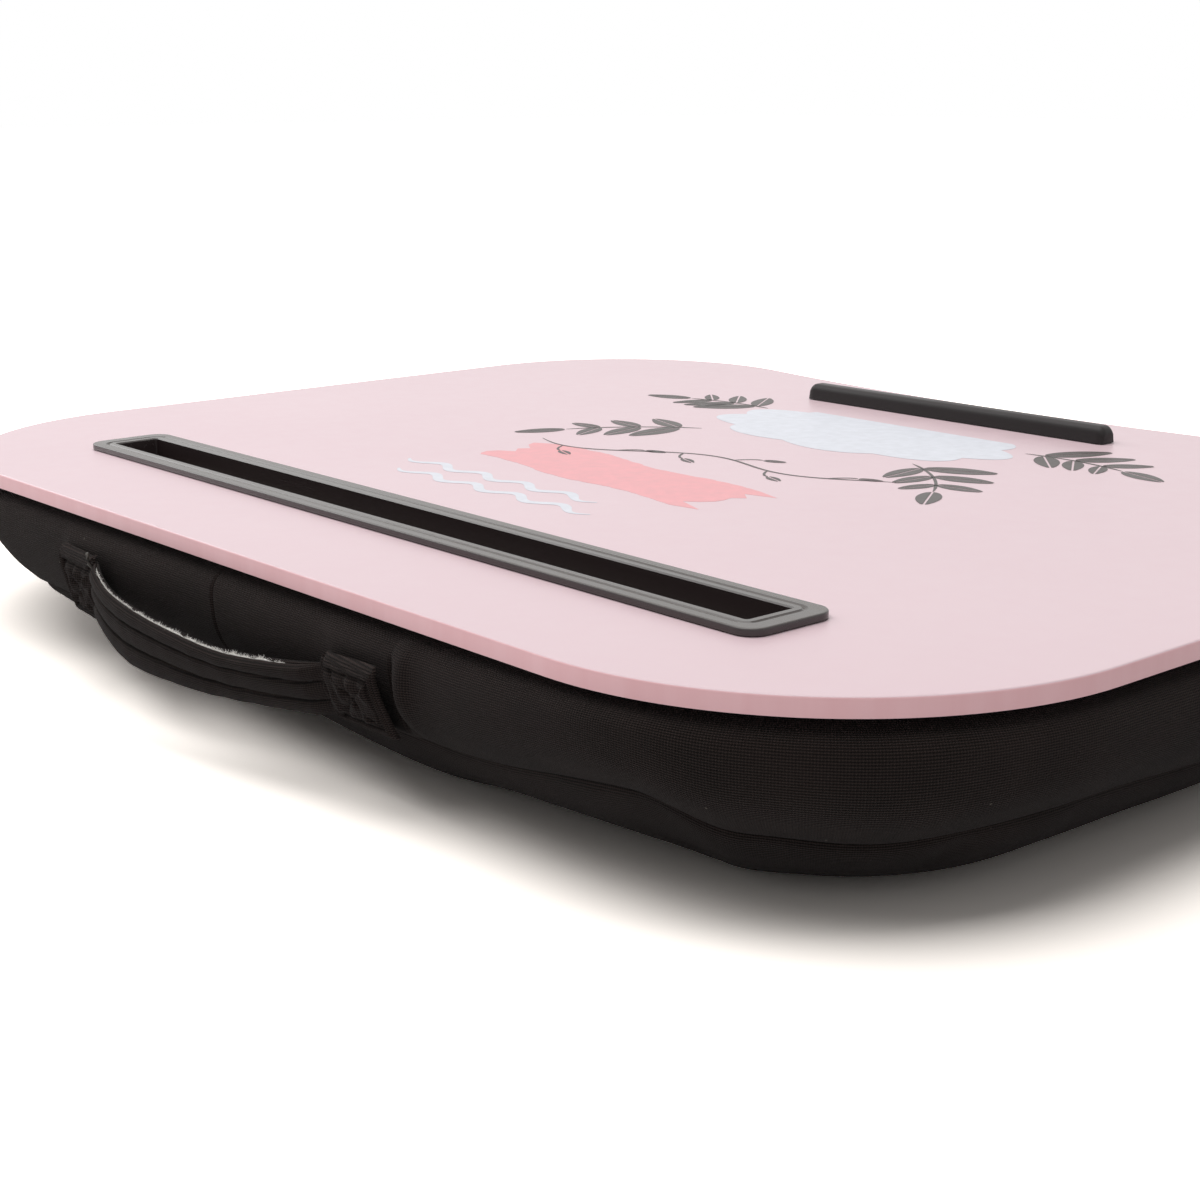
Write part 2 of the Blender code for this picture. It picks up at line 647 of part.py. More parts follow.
clear_scene()
make_board(finish("painted_mdf", (240, 219, 224), 0.42))
make_slot_tray(finish("dark_plastic", (52, 46, 48), 0.38))
make_ledge(finish("ledge_plastic", (50, 45, 45), 0.5))
make_screws(finish("zinc_screw", (176, 176, 172), 0.35))
make_pads(finish("hook_tape", (24, 24, 26), 0.8), finish("loop_tape", (34, 33, 34), 0.95))
knit = finish("black_knit", (34, 31, 30), 0.9)
make_cushion(knit, finish("foam_beads", (236, 236, 232), 0.7))
make_patches(knit)
make_strap(knit, finish("pale_fleece", (222, 219, 212), 0.95))
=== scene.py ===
import random
from collections import namedtuple
from math import atan2, copysign, cos, exp, hypot, pi, radians, sin, tan

import bmesh
import bpy
from mathutils import Matrix, Vector, noise


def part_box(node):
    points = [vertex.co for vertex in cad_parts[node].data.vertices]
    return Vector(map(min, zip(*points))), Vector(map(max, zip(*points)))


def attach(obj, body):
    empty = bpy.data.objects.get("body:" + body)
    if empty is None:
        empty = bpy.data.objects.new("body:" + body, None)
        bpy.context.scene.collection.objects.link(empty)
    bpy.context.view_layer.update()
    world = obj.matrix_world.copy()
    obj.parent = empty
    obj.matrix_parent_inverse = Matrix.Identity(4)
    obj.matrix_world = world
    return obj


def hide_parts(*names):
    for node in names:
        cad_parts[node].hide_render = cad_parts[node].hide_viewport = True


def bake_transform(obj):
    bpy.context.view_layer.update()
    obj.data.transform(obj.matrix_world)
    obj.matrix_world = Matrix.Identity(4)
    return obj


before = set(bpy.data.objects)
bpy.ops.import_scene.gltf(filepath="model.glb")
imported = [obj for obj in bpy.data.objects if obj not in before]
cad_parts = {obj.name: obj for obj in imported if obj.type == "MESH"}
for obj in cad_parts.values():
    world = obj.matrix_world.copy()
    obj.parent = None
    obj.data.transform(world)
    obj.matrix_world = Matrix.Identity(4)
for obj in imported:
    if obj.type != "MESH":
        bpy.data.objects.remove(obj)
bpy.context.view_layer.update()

# Camera
# It stands behind the tray, over its back left corner, close to the table. The angles and the
# distance were fitted to the board's outline, the slot's corners and the ledge's ends.
board_low, board_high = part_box("top_board")
view_turn = radians(229.154)
view_rise = radians(14.791)
view_roll = radians(-0.209)
view_distance = 0.4947
view_aim = Vector((-0.1166, 0.1432, board_high.z))
photo_width_px = 1200
focal_length_px = 1956.65
sensor_width_mm = 36


def shown(name, data):
    """Put a camera, lamp or mesh into the scene."""
    thing = bpy.data.objects.new(name, data)
    bpy.context.scene.collection.objects.link(thing)
    return thing


camera = shown("camera", bpy.data.cameras.new("camera"))
camera.data.sensor_width = sensor_width_mm
camera.data.lens = sensor_width_mm * focal_length_px / photo_width_px
camera.data.clip_start = 0.01
turned = (Matrix.Rotation(view_turn, 4, "Z") @ Matrix.Rotation(pi / 2 - view_rise, 4, "X")
          @ Matrix.Rotation(view_roll, 4, "Z"))
camera.matrix_world = Matrix.Translation(view_aim + turned.col[2].xyz * view_distance) @ turned
bpy.context.scene.camera = camera


# Top board
# A 5 mm MDF panel, sawn to a rounded outline with a hollow front edge and coated a satin pale pink.
# The sawn edge is pinker than the top, partly from the coating and partly painted light for how the light
# falls on it, with faint upright streaks that are painted soft reflections.
board_back_radius = 0.0915
board_front_radius = 0.084
board_scoop = 0.0133
board_ease = 0.0006
board_spacing = 0.004
slot_wall_gap = 0.0019
board_top_colour = (226, 202, 206)

Place = namedtuple("Place", "x y out_x out_y run turn")


def linear(colour):
    """A colour of 0 to 255 as Blender's linear red, green, blue and alpha."""
    shares = [channel / 255 for channel in colour]
    return [s / 12.92 if s <= 0.04045 else ((s + 0.055) / 1.055) ** 2.4 for s in shares] + [1.0]


def spread(start, end, spacing):
    """Values from start up to, not counting, end, about a spacing apart."""
    steps = max(1, round(abs(end - start) / spacing))
    return [start + (end - start) * step / steps for step in range(steps)]


def edge_places(spacing, back_runs=None):
    """Places round the board's edge, from the middle of the back past the user's left to the front and round.

    Each has its outward direction, its distance along the edge (negative on the user's right) and how
    far it is into a corner's turn.
    """
    half_width = (board_high.x - board_low.x) / 2
    half_depth = (board_high.y - board_low.y) / 2
    back_x = half_width - board_back_radius
    back_y = half_depth - board_back_radius
    front_x = half_width - board_front_radius
    front_y = board_front_radius - half_depth
    reach = (front_x ** 2 / board_scoop + board_scoop) / 2
    scoop_radius = reach - board_front_radius
    scoop_y = board_scoop - half_depth - scoop_radius
    scoop_angle = atan2(front_x, reach - board_scoop)
    half = []
    for x in back_runs or spread(0, back_x, spacing):
        half.append(Place(-x, half_depth, 0.0, 1.0, x, 0.0))
    for angle in spread(0, pi / 2, spacing / board_back_radius):
        out = (-sin(angle), cos(angle))
        half.append(Place(-back_x + board_back_radius * out[0], back_y + board_back_radius * out[1],
                          *out, back_x + board_back_radius * angle, sin(2 * angle) ** 2))
    side_start = back_x + board_back_radius * pi / 2
    for y in spread(back_y, front_y, spacing):
        half.append(Place(-half_width, y, -1.0, 0.0, side_start + back_y - y, 0.0))
    front_start = side_start + back_y - front_y
    corner_angle = pi / 2 + scoop_angle
    for angle in spread(0, corner_angle, spacing / board_front_radius):
        out = (-cos(angle), -sin(angle))
        half.append(Place(-front_x + board_front_radius * out[0], front_y + board_front_radius * out[1],
                          *out, front_start + board_front_radius * angle,
                          sin(pi * angle / corner_angle) ** 2))
    scoop_start = front_start + board_front_radius * corner_angle
    for angle in spread(scoop_angle, 0, spacing / scoop_radius) + [0.0]:
        out = (sin(angle), -cos(angle))
        half.append(Place(-scoop_radius * out[0], scoop_y - scoop_radius * out[1], *out,
                          scoop_start + scoop_radius * (scoop_angle - angle), 0.0))
    return half + [Place(-p.x, p.y, -p.out_x, p.out_y, -p.run, p.turn) for p in reversed(half[1:-1])]


def edge_ring(places, inset, z):
    return [Vector((p.x - p.out_x * inset, p.y - p.out_y * inset, z)) for p in places]


def rounded_ring(half_x, half_y, corner, z, middle=(0.0, 0.0), corner_steps=8):
    """A level rectangle with round corners, anticlockwise from above."""
    ring = []
    for quarter in range(4):
        centre = Vector((middle[0] + (half_x - corner) * (1 if quarter in (0, 3) else -1),
                         middle[1] + (half_y - corner) * (1 if quarter in (0, 1) else -1), z))
        for step in range(corner_steps + 1):
            angle = pi / 2 * (quarter + step / corner_steps)
            ring.append(centre + Vector((cos(angle), sin(angle), 0)) * corner)
    return ring


def join_rows(bm, rows, closed=True):
    """Quads between rows of points, each row a closed loop unless it is said to be open."""
    made = [[bm.verts.new(point) for point in row] for row in rows]
    for lower, upper in zip(made, made[1:]):
        for i in range(len(lower) if closed else len(lower) - 1):
            j = (i + 1) % len(lower)
            bm.faces.new((lower[i], lower[j], upper[j], upper[i]))
    return made


def join_capped(bm, rows):
    """Closed rows of points joined by quads, with a face over the first row and one over the last."""
    made = join_rows(bm, rows)
    bm.faces.new(made[0])
    bm.faces.new(made[-1])
    return made


def add_piece(name, bm, material, sharp_angle=35):
    """Turn a finished mesh into a shown object with smooth shading between its sharp edges."""
    bmesh.ops.recalc_face_normals(bm, faces=bm.faces)
    mesh = bpy.data.meshes.new(name)
    bm.to_mesh(mesh)
    bm.free()
    mesh.materials.append(material)
    mesh.shade_smooth()
    mesh.set_sharp_from_angle(angle=radians(sharp_angle))
    return shown(name, mesh)


def lofted(name, rows, material, sharp_angle=35):
    """A shown closed body through rows of points."""
    bm = bmesh.new()
    join_capped(bm, rows)
    return add_piece(name, bm, material, sharp_angle)


def new_material(name, colour, roughness, specular=0.5):
    material = bpy.data.materials.new(name)
    material.use_nodes = True
    shader = material.node_tree.nodes["Principled BSDF"]
    shader.inputs["Base Color"].default_value = linear(colour)
    shader.inputs["Roughness"].default_value = roughness
    shader.inputs["Specular IOR Level"].default_value = specular
    return material, shader


def add_node(material, kind, inputs=None, **properties):
    """A shader node whose inputs are set to numbers or linked to other nodes' outputs."""
    node = material.node_tree.nodes.new("ShaderNode" + kind)
    for key, value in properties.items():
        setattr(node, key, value)
    for key, value in (inputs or {}).items():
        if isinstance(value, bpy.types.NodeSocket):
            material.node_tree.links.new(value, node.inputs[key])
        else:
            node.inputs[key].default_value = value
    return node


def object_place(material):
    return add_node(material, "TexCoord").outputs["Object"]


def link(material, source, shader, socket):
    material.node_tree.links.new(source, shader.inputs[socket])


def arithmetic(material, operation, first, second=0.0, clamp=False):
    return add_node(material, "Math", {0: first, 1: second}, operation=operation, use_clamp=clamp).outputs[0]


def mixed(material, share, first, second):
    """A colour between two, by a share from 0 to 1."""
    return add_node(material, "Mix", {0: share, 6: first, 7: second}, data_type="RGBA").outputs[2]


def graded(material, value, low, high, start=0.0, end=1.0):
    """A value brought from one range of numbers to another."""
    return add_node(material, "MapRange", {"Value": value, "From Min": low, "From Max": high,
                                           "To Min": start, "To Max": end}).outputs[0]


def speckle(material, vector, scale, detail=3.0):
    return add_node(material, "TexNoise", {"Vector": vector, "Scale": scale, "Detail": detail}).outputs["Fac"]


def bumped(material, shader, height, strength, distance):
    bump = add_node(material, "Bump", {"Height": height, "Strength": strength, "Distance": distance})
    link(material, bump.outputs[0], shader, "Normal")


def coated_mdf():
    material, shader = new_material("coated_mdf", board_top_colour, 0.36)
    place = add_node(material, "TexCoord")
    upright = add_node(material, "SeparateXYZ", {0: place.outputs["Normal"]}).outputs["Z"]
    flat = graded(material, arithmetic(material, "ABSOLUTE", upright), 0.45, 0.8)
    cloudy = speckle(material, place.outputs["Object"], 9.0)
    streaks_and_sheen = speckle(material, add_node(material, "Mapping", {"Vector": place.outputs["Object"],
                                                               "Scale": (160, 160, 6)}).outputs[0], 1.0)
    top = mixed(material, cloudy, linear((222, 195, 201)), linear((228, 203, 208)))
    # Upright faces take the edge colour, partly the coating and partly painted light; the streaks in it are
    # painted soft reflections.
    edge = mixed(material, streaks_and_sheen, linear((234, 177, 181)), linear((245, 199, 203)))
    link(material, mixed(material, flat, edge, top), shader, "Base Color")
    link(material, graded(material, streaks_and_sheen, 0, 1, 0.30, 0.42), shader, "Roughness")
    grain = speckle(material, place.outputs["Object"], 1400.0, 2.0)
    bumped(material, shader, arithmetic(material, "ADD", grain, streaks_and_sheen), 0.12, 0.00008)
    return material


# The slot is drawn a little longer and wider than the CAD's, and a little aside, as in the photo
tray_low, tray_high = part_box("slot_tray")
tray_rim_end = 0.0085
tray_rim_side = 0.007
tray_longer = 0.0014
tray_wider = 0.0006
slot_aside_y = 0.0007
slot_middle_x = -0.0005
slot_middle_y = (tray_low.y + tray_high.y) / 2 - slot_aside_y
slot_half_length = (tray_high.x - tray_low.x) / 2 + tray_longer - tray_rim_end
slot_half_width = (tray_high.y - tray_low.y) / 2 + tray_wider - tray_rim_side

places = edge_places(board_spacing)
# Steps of a rounded edge, from the flat down to the side, as shares of its radius inward and down
rounding = [(1 - cos(angle), 1 - sin(angle))
            for angle in (pi / 2, pi / 3, pi / 6, 0)]
upper_rows = [edge_ring(places, 2 * board_ease, board_high.z)]
upper_rows += [edge_ring(places, board_ease * inward, board_high.z - board_ease * down)
               for inward, down in rounding]
lower_rows = [edge_ring(places, board_ease * inward / 3, board_low.z + board_ease * down / 3)
              for inward, down in rounding]
bm = bmesh.new()
outer = join_rows(bm, [edge_ring(places, 2 * board_ease, board_low.z)] + lower_rows + upper_rows[::-1])
hole_corner = 0.0025
cut_out = join_rows(bm, [rounded_ring(slot_half_length + slot_wall_gap, slot_half_width + slot_wall_gap,
                                      hole_corner, z, (slot_middle_x, slot_middle_y))
                         for z in (board_low.z, board_high.z)])
for rim, hole in ((outer[0], cut_out[0]), (outer[-1], cut_out[-1])):
    loops = [bm.edges.get((loop[i - 1], loop[i])) for loop in (rim, hole) for i in range(len(loop))]
    bmesh.ops.triangle_fill(bm, edges=loops, use_beauty=True)
board_finish = coated_mdf()
board = add_piece("board", bm, board_finish)
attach(board, "tray")
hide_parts("top_board")


# Printed decoration
# Ink films a few hundredths of a millimetre thick, printed on the coating in three passes: coral,
# then white, then dark brown. A generic picture of a cloud, leaves, brush strokes and a curling vine.
ink_step = 0.00003
cloud_half_x = 0.064
cloud_half_y = 0.034
cloud_middle = Vector((0.002, -0.088))
cloud_lobes = 9
cloud_lobe_share = 0.13
cloud_steps = 180
# Each sprig's foot as x and y, its heading in degrees, its length, and how far it turns on its way
sprigs = ((0.050, -0.052, 32, 0.052, 0.6), (-0.050, -0.056, 156, 0.048, -0.6),
          (0.066, -0.104, -8, 0.040, 0.5), (-0.064, -0.100, 192, 0.042, -0.5))
leaf_length = 0.030
leaf_width_share = 0.44
leaf_midrib = 0.0007
leaf_pairs = 3
leaf_steps = 15
stem_steps = 24
stroke_middle = Vector((0.008, 0.030))
stroke_half_length = 0.055
stroke_half_width = 0.017
stroke_tilt = radians(-4)
stroke_teeth = 9  # ragged ends where the brush lifts
wave_length = 0.1
wave_rows_y = (0.066, 0.079)
wave_rise = 0.0026
wave_count = 4.5
wave_width = 0.0034
wave_steps = 90
vine_width = 0.0011
vine_steps = 120
# Each curl's place along the vine and the side it grows to
vine_curls = ((0.12, 1), (0.26, -1), (0.40, 1), (0.55, -1), (0.70, 1), (0.86, -1))


def ink(name, colour):
    material, shader = new_material(name, colour, 0.4)
    place = object_place(material)
    worn = speckle(material, place, 260.0)
    darker = [channel * 0.9 for channel in colour]
    link(material, mixed(material, worn, linear(darker), linear(colour)), shader, "Base Color")
    link(material, graded(material, worn, 0, 1, 0.34, 0.46), shader, "Roughness")
    bumped(material, shader, speckle(material, place, 1400.0), 0.1, 0.00005)
    return material


def film(bm, outline, layer):
    """A flat shape of ink on the board, in the given printing pass."""
    low = board_high.z + ink_step * (layer + 0.5)
    join_capped(bm, [[(x, y, z) for x, y in outline] for z in (low, low + ink_step)])


def film_line(bm, middle, width, layer):
    """A drawn line of ink along points, with tapering ends."""
    low = board_high.z + ink_step * (layer + 0.5)
    rows = []
    for i, point in enumerate(middle):
        ahead = (middle[min(i + 1, len(middle) - 1)] - middle[max(i - 1, 0)]).normalized()
        share = i / (len(middle) - 1)
        half = width / 2 * min(1, 0.25 + 6 * share, 0.25 + 6 * (1 - share))
        side = Vector((-ahead.y, ahead.x)) * half
        rows.append([(*(point + side), low), (*(point - side), low),
                     (*(point - side), low + ink_step), (*(point + side), low + ink_step)])
    join_capped(bm, rows)


def film_leaf(bm, stalk, heading, length, layer):
    """A pointed leaf in two halves, with a bare midrib between them."""
    ahead = Vector((cos(heading), sin(heading)))
    across = Vector((-ahead.y, ahead.x))
    for side in (1, -1):
        outline = [(share, leaf_midrib / 2) for share in (0.96, 0.5, 0.03)]
        for step in range(1, leaf_steps):
            share = step / leaf_steps
            belly = 2.6 * share ** 0.75 * (1 - share) ** 0.95
            outline.append((share, leaf_midrib / 2 + belly * length * leaf_width_share / 2))
        film(bm, [stalk + ahead * (share * length) + across * (side * y) for share, y in outline], layer)


def film_sprig(bm, x, y, heading, length, bend):
    """A bowed stem with pairs of leaves and one at its tip."""
    stem = []
    for step in range(stem_steps + 1):
        turned = radians(heading) + bend * step / stem_steps
        ahead = Vector((cos(turned), sin(turned))) * length / stem_steps
        stem.append(stem[-1] + ahead if stem else Vector((x, y)))
    film_line(bm, stem, vine_width, 2)
    for pair in range(leaf_pairs):
        at = round(stem_steps * (pair + 0.6) / (leaf_pairs + 0.4))
        turned = radians(heading) + bend * at / stem_steps
        for side in (1, -1):
            size = leaf_length * (1 - 0.16 * pair)
            film_leaf(bm, stem[at], turned + side * 0.95, size * (0.9 if side == 1 else 0.75), 2)
    film_leaf(bm, stem[-1], radians(heading) + bend, leaf_length * 0.7, 2)


bm = bmesh.new()
chance = random.Random(4)
stroke = []
edge_steps = 46
for side in (1, -1):
    for step in range(edge_steps):
        share = side * (1 - 2 * step / edge_steps)
        ragged = 0.0008 * (chance.random() - 0.5)
        bulge = 0.0016 * sin(5 * share + side)
        stroke.append((share * stroke_half_length, side * (stroke_half_width + bulge) + ragged))
    for tooth in range(stroke_teeth):
        depth = stroke_half_width * side * (1 - 2 * (tooth + 0.5) / stroke_teeth)
        stroke.append((-side * (stroke_half_length + 0.011 * chance.random() - 0.004 * (tooth % 2)), depth))
turn = Matrix.Rotation(stroke_tilt, 2)
film(bm, [stroke_middle + turn @ Vector(point) for point in stroke], 0)
coral = add_piece("print_coral", bm, ink("coral_ink", (246, 172, 176)))

bm = bmesh.new()
cloud = []
for step in range(cloud_steps):
    angle = 2 * pi * step / cloud_steps
    lobe = 1 + cloud_lobe_share * (abs(sin(cloud_lobes * angle / 2)) - 0.5)
    y = cloud_half_y * lobe * sin(angle)
    cloud.append(cloud_middle + Vector((cloud_half_x * lobe * cos(angle), max(y, -0.7 * cloud_half_y))))
film(bm, cloud, 1)
for row_y in wave_rows_y:
    points = []
    for step in range(wave_steps + 1):
        share = step / wave_steps
        x = 0.062 - wave_length * share + 0.012 * (row_y == wave_rows_y[0])
        points.append(Vector((x, row_y + wave_rise * sin(2 * pi * wave_count * share))))
    film_line(bm, points, wave_width, 1)
white = add_piece("print_white", bm, ink("white_ink", (232, 234, 242)))

bm = bmesh.new()
for sprig in sprigs:
    film_sprig(bm, *sprig)
vine = []
for step in range(vine_steps + 1):
    share = step / vine_steps
    wave = 0.0085 * sin(3.2 * pi * share) * (1 - 0.3 * share)
    vine.append(Vector((0.074 - 0.142 * share, 0.006 - 0.030 * share + wave)))
film_line(bm, vine, vine_width, 2)
for share, side in vine_curls:
    start = vine[round(vine_steps * share)]
    curl = [start + Vector((side * 0.004, side)) * (0.0012 * t)
            + Vector((-0.0006 * t, -side * 0.00005 * t * t)) for t in range(13)]
    film_line(bm, curl, vine_width * 0.8, 2)
    film_leaf(bm, curl[-1], radians(160 * side), 0.009, 2)
dark = add_piece("print_dark", bm, ink("brown_ink", (66, 58, 54)))
for piece in (coral, white, dark):
    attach(piece, "tray")


# Slot tray
# One moulding in dark satin plastic: a rim that lies on the board, with a fine groove and a lip
# round the opening, a drafted well for a tablet or phone, and clips that catch under the board.
tray_seat_gap = 0.0003
tray_rim_corner = 0.006
tray_rim_ease = 0.0004
tray_rim_lower = 0.0009  # the rim looks thinner in the photo than in the CAD
tray_lip = 0.0024
tray_groove = 0.0012
tray_groove_depth = 0.0005
tray_wall = 0.0016
tray_floor = 0.0014
tray_draft = 0.0003
tray_opening_corner = 0.0007
clip_count = 3
clip_pitch = 0.11
clip_length = 0.012
clip_catch = 0.001


def moulded_plastic(name, colour, lit_top_colour, roughness, specular, marks):
    """Fine spark-eroded mould texture with smoother rubbed streaks; the upper faces carry a painted
    highlight, paler in the same streaks.
    """
    material, shader = new_material(name, colour, roughness, specular)
    place = add_node(material, "TexCoord")
    upright = add_node(material, "SeparateXYZ", {0: place.outputs["Normal"]}).outputs["Z"]
    rubbed = speckle(material, add_node(material, "Mapping", {"Vector": place.outputs["Object"],
                                                              "Scale": marks}).outputs[0], 1.0, 5.0)
    duller = [channel * 0.86 for channel in lit_top_colour]
    paler = [channel * 1.16 for channel in lit_top_colour]
    upper = mixed(material, rubbed, linear(duller), linear(paler))
    # Faces that look up take the paler colour: a painted highlight.
    painted_top_light_share = graded(material, upright, 0.5, 0.95)
    link(material, mixed(material, painted_top_light_share, linear(colour), upper), shader, "Base Color")
    rubbed_rough = graded(material, rubbed, 0.2, 0.8, roughness - 0.07, roughness + 0.09)
    link(material, rubbed_rough, shader, "Roughness")
    bumped(material, shader, speckle(material, place.outputs["Object"], 2600.0, 2.0), 0.14, 0.00005)
    return material


def tray_ring(end, side, corner, z):
    return rounded_ring(slot_half_length + end, slot_half_width + side, corner, z,
                        (slot_middle_x, slot_middle_y))


def even_tray_ring(out, z):
    return tray_ring(out, out, tray_opening_corner + max(out, 0), z)


rim_bottom = board_high.z + tray_seat_gap
rim_top = tray_high.z - tray_rim_lower
groove_out = tray_lip + tray_groove
rows = [even_tray_ring(tray_wall - tray_rim_ease, tray_low.z),
        even_tray_ring(tray_wall, tray_low.z + tray_rim_ease),
        even_tray_ring(tray_wall, rim_bottom),
        tray_ring(tray_rim_end, tray_rim_side, tray_rim_corner, rim_bottom)]
for inward, down in [*rounding[::-1], (2, 0)]:
    lost = tray_rim_ease * inward
    rows.append(tray_ring(tray_rim_end - lost, tray_rim_side - lost, tray_rim_corner - lost,
                          rim_top - tray_rim_ease * down))
for edge, over, depth in ((groove_out, 0.15, 0), (groove_out, -0.15, 0.7), (groove_out, -0.5, 1),
                          (tray_lip, 0.15, 0.7), (tray_lip, -0.15, 0)):
    rows.append(even_tray_ring(edge + tray_groove * over, rim_top - tray_groove_depth * depth))
rows += [even_tray_ring(tray_rim_ease, rim_top),
         even_tray_ring(0, rim_top - tray_rim_ease),
         tray_ring(-tray_draft, -tray_draft, tray_opening_corner, tray_low.z + tray_floor)]
bm = bmesh.new()
join_capped(bm, rows)
catch_z = board_low.z - tray_seat_gap
clip_root = slot_half_width + tray_wall * 0.9
clip_face = slot_half_width + tray_wall + tray_seat_gap + clip_catch
for side in (-1, 1):
    for index in range(clip_count):
        middle = slot_middle_x + clip_pitch * (index - (clip_count - 1) / 2)
        outline = ((clip_root, tray_low.z + tray_rim_ease), (clip_face, catch_z - tray_rim_ease),
                   (clip_face, catch_z), (clip_root, catch_z))
        join_capped(bm, [[(x, slot_middle_y + side * y, z) for y, z in outline]
                         for x in (middle - clip_length / 2, middle + clip_length / 2)])
tray_plastic = moulded_plastic("dark_satin_plastic", (46, 37, 37), (74, 67, 62), 0.24, 0.6, (3, 220, 220))
slot_tray = add_piece("slot_lining", bm, tray_plastic, 40)
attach(slot_tray, "tray")
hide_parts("slot_tray")


# Stop ledge
# A low bar of charcoal plastic with soft edges, which keeps a laptop from sliding to the user.
# Three screws hold it from under the board.
ledge_low, ledge_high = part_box("stop_ledge")
ledge_radius = 0.0026
ledge_end_radius = 0.0032
ledge_draft = 0.0004
ledge_steps = 8


def ledge_slice(x, lost):
    """Upright slice of the bar, lower and thinner towards its ends."""
    middle_y = (ledge_low.y + ledge_high.y) / 2
    half = (ledge_high.y - ledge_low.y - lost * ledge_radius / ledge_end_radius) / 2
    top = ledge_high.z - lost
    radius = min(ledge_radius, (top - ledge_low.z) / 2)
    points = [Vector((x, middle_y - half, ledge_low.z)), Vector((x, middle_y + half, ledge_low.z))]
    for side in (1, -1):
        for step in range(ledge_steps + 1):
            angle = pi / 2 * (step if side == 1 else ledge_steps - step) / ledge_steps
            points.append(Vector((x, middle_y + side * (half - ledge_draft - radius * (1 - cos(angle))),
                                  top - radius * (1 - sin(angle)))))
    return points


angles = [pi / 2 * step / ledge_steps for step in range(ledge_steps + 1)]
ends = [(ledge_high.x - ledge_end_radius * (1 - sin(a)), ledge_end_radius * (1 - cos(a)))
        for a in angles]
slices = [ledge_slice(-x, lost) for x, lost in reversed(ends)] + [ledge_slice(x, lost) for x, lost in ends]
ledge_plastic = moulded_plastic("charcoal_plastic", (29, 25, 25), (46, 41, 41), 0.42, 0.25, (40, 90, 90))
ledge = lofted("ledge_bar", slices, ledge_plastic, 50)
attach(ledge, "tray")
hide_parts("stop_ledge")


# Ledge screws
# Zinc-plated steel pan-head screws, driven up through the board into the ledge. The CAD solids stay.
def zinc_plate():
    material, shader = new_material("zinc_plate", (178, 178, 174), 0.32)
    shader.inputs["Metallic"].default_value = 1.0
    place = object_place(material)
    dull = speckle(material, place, 700.0)
    shade = mixed(material, dull, linear((150, 151, 150)), linear((192, 191, 184)))
    link(material, shade, shader, "Base Color")
    link(material, graded(material, dull, 0, 1, 0.24, 0.44), shader, "Roughness")
    bumped(material, shader, dull, 0.1, 0.00005)
    return material


screw_finish = zinc_plate()
for name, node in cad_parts.items():
    if name.startswith("ledge_screw"):
        node.material_slots[0].material = screw_finish


# Hook and loop pads
# Pairs of nylon tape that hold the cushion to the board: stiff moulded hooks glued under the board,
# brushed loops sewn on the cover. The CAD solids stay.
def tape(name, colour, pitch, softness):
    material, shader = new_material(name, colour, 0.85)
    place = object_place(material)
    cells = add_node(material, "TexVoronoi", {"Vector": place, "Scale": 1 / pitch, "Randomness": softness})
    tips = graded(material, cells.outputs["Distance"], 0.0, 0.6, 1.0, 0.0)
    paler = [channel * 1.8 for channel in colour]
    link(material, mixed(material, tips, linear(colour), linear(paler)), shader, "Base Color")
    bumped(material, shader, tips, 0.7, pitch / 3)
    return material


hook_finish = tape("hook_tape_nylon", (26, 26, 28), 0.0012, 0.1)
loop_finish = tape("loop_tape_nylon", (36, 35, 36), 0.0007, 1.0)
for name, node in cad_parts.items():
    if name.startswith("hook_pad"):
        node.material_slots[0].material = hook_finish
    if name.startswith("loop_pad"):
        node.material_slots[0].material = loop_finish


# Cushion cover
# Black rib-knit fabric, sewn from a bottom panel, two half bands that meet in upright seams and a
# top panel, and blown full by the beads. The lower seam is drawn in and has one soft pucker, and the
# fabric hangs slack at the user's right back corner.
cushion_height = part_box("cover_top_panel")[1].z
cover_flat_top = cushion_height - 0.003
cover_spacing = 0.0042
seam_height = 0.0222
seam_tuck = 0.0088
seam_groove = 0.0014
band_bulge = 0.0024
belly_reach = 0.0465
belly_corner_loss = 0.005
belly_power = 1.25
draw_back_left = 0.0034
draw_back_right = 0.0172  # the slackest corner, where the seam also rides up
draw_front = 0.008
back_corner_from = 0.10
back_corner_to = 0.33
# The slack corner as distances along the edge: where it starts and is gone, and how far it takes to change
slack_from = -0.133
slack_to = -0.34
slack_change_back = 0.03
slack_change_side = 0.07
slack_rise = 0.0085
slack_rise_run = -0.215
slack_rise_reach = 0.085
side_rise = 0.0028  # the seam humps up past the user's left back corner
side_rise_run = 0.287
side_rise_reach = 0.055
# Where the underside curls up further or less, as distances along the edge: where that starts, is full,
# begins to change back and is gone; and how much further in the flat begins
belly_lifts = ((-0.42, -0.30, -0.165, -0.098, 0.042), (0.0, 0.045, 0.068, 0.105, -0.01),
               (0.08, 0.115, 0.15, 0.2, 0.009), (0.24, 0.28, 0.34, 0.4, -0.005))
belly_corner_room = 0.003  # so that the underside's edge never folds over itself at a corner
band_power = 3.2
band_slack_power = 1.4
band_full_at = 0.7
band_top_loss = 0.88
band_top_power = 3.2
top_slope = 0.014
pucker_run = 0.165
pucker_rise = 0.0068
pucker_reach_back = 0.07
pucker_reach_side = 0.032
sag_run = 0.226
sag_drop = 0.0016
sag_reach = 0.03
band_puff_limit = 0.0032
belly_puff_limit = 0.0011
knit_pitch = 0.00072
belly_steps = 14
band_steps = 12
floor_ring_shares = (0.85, 0.62, 0.38, 0.16)
knit_colour = (30, 26, 24)


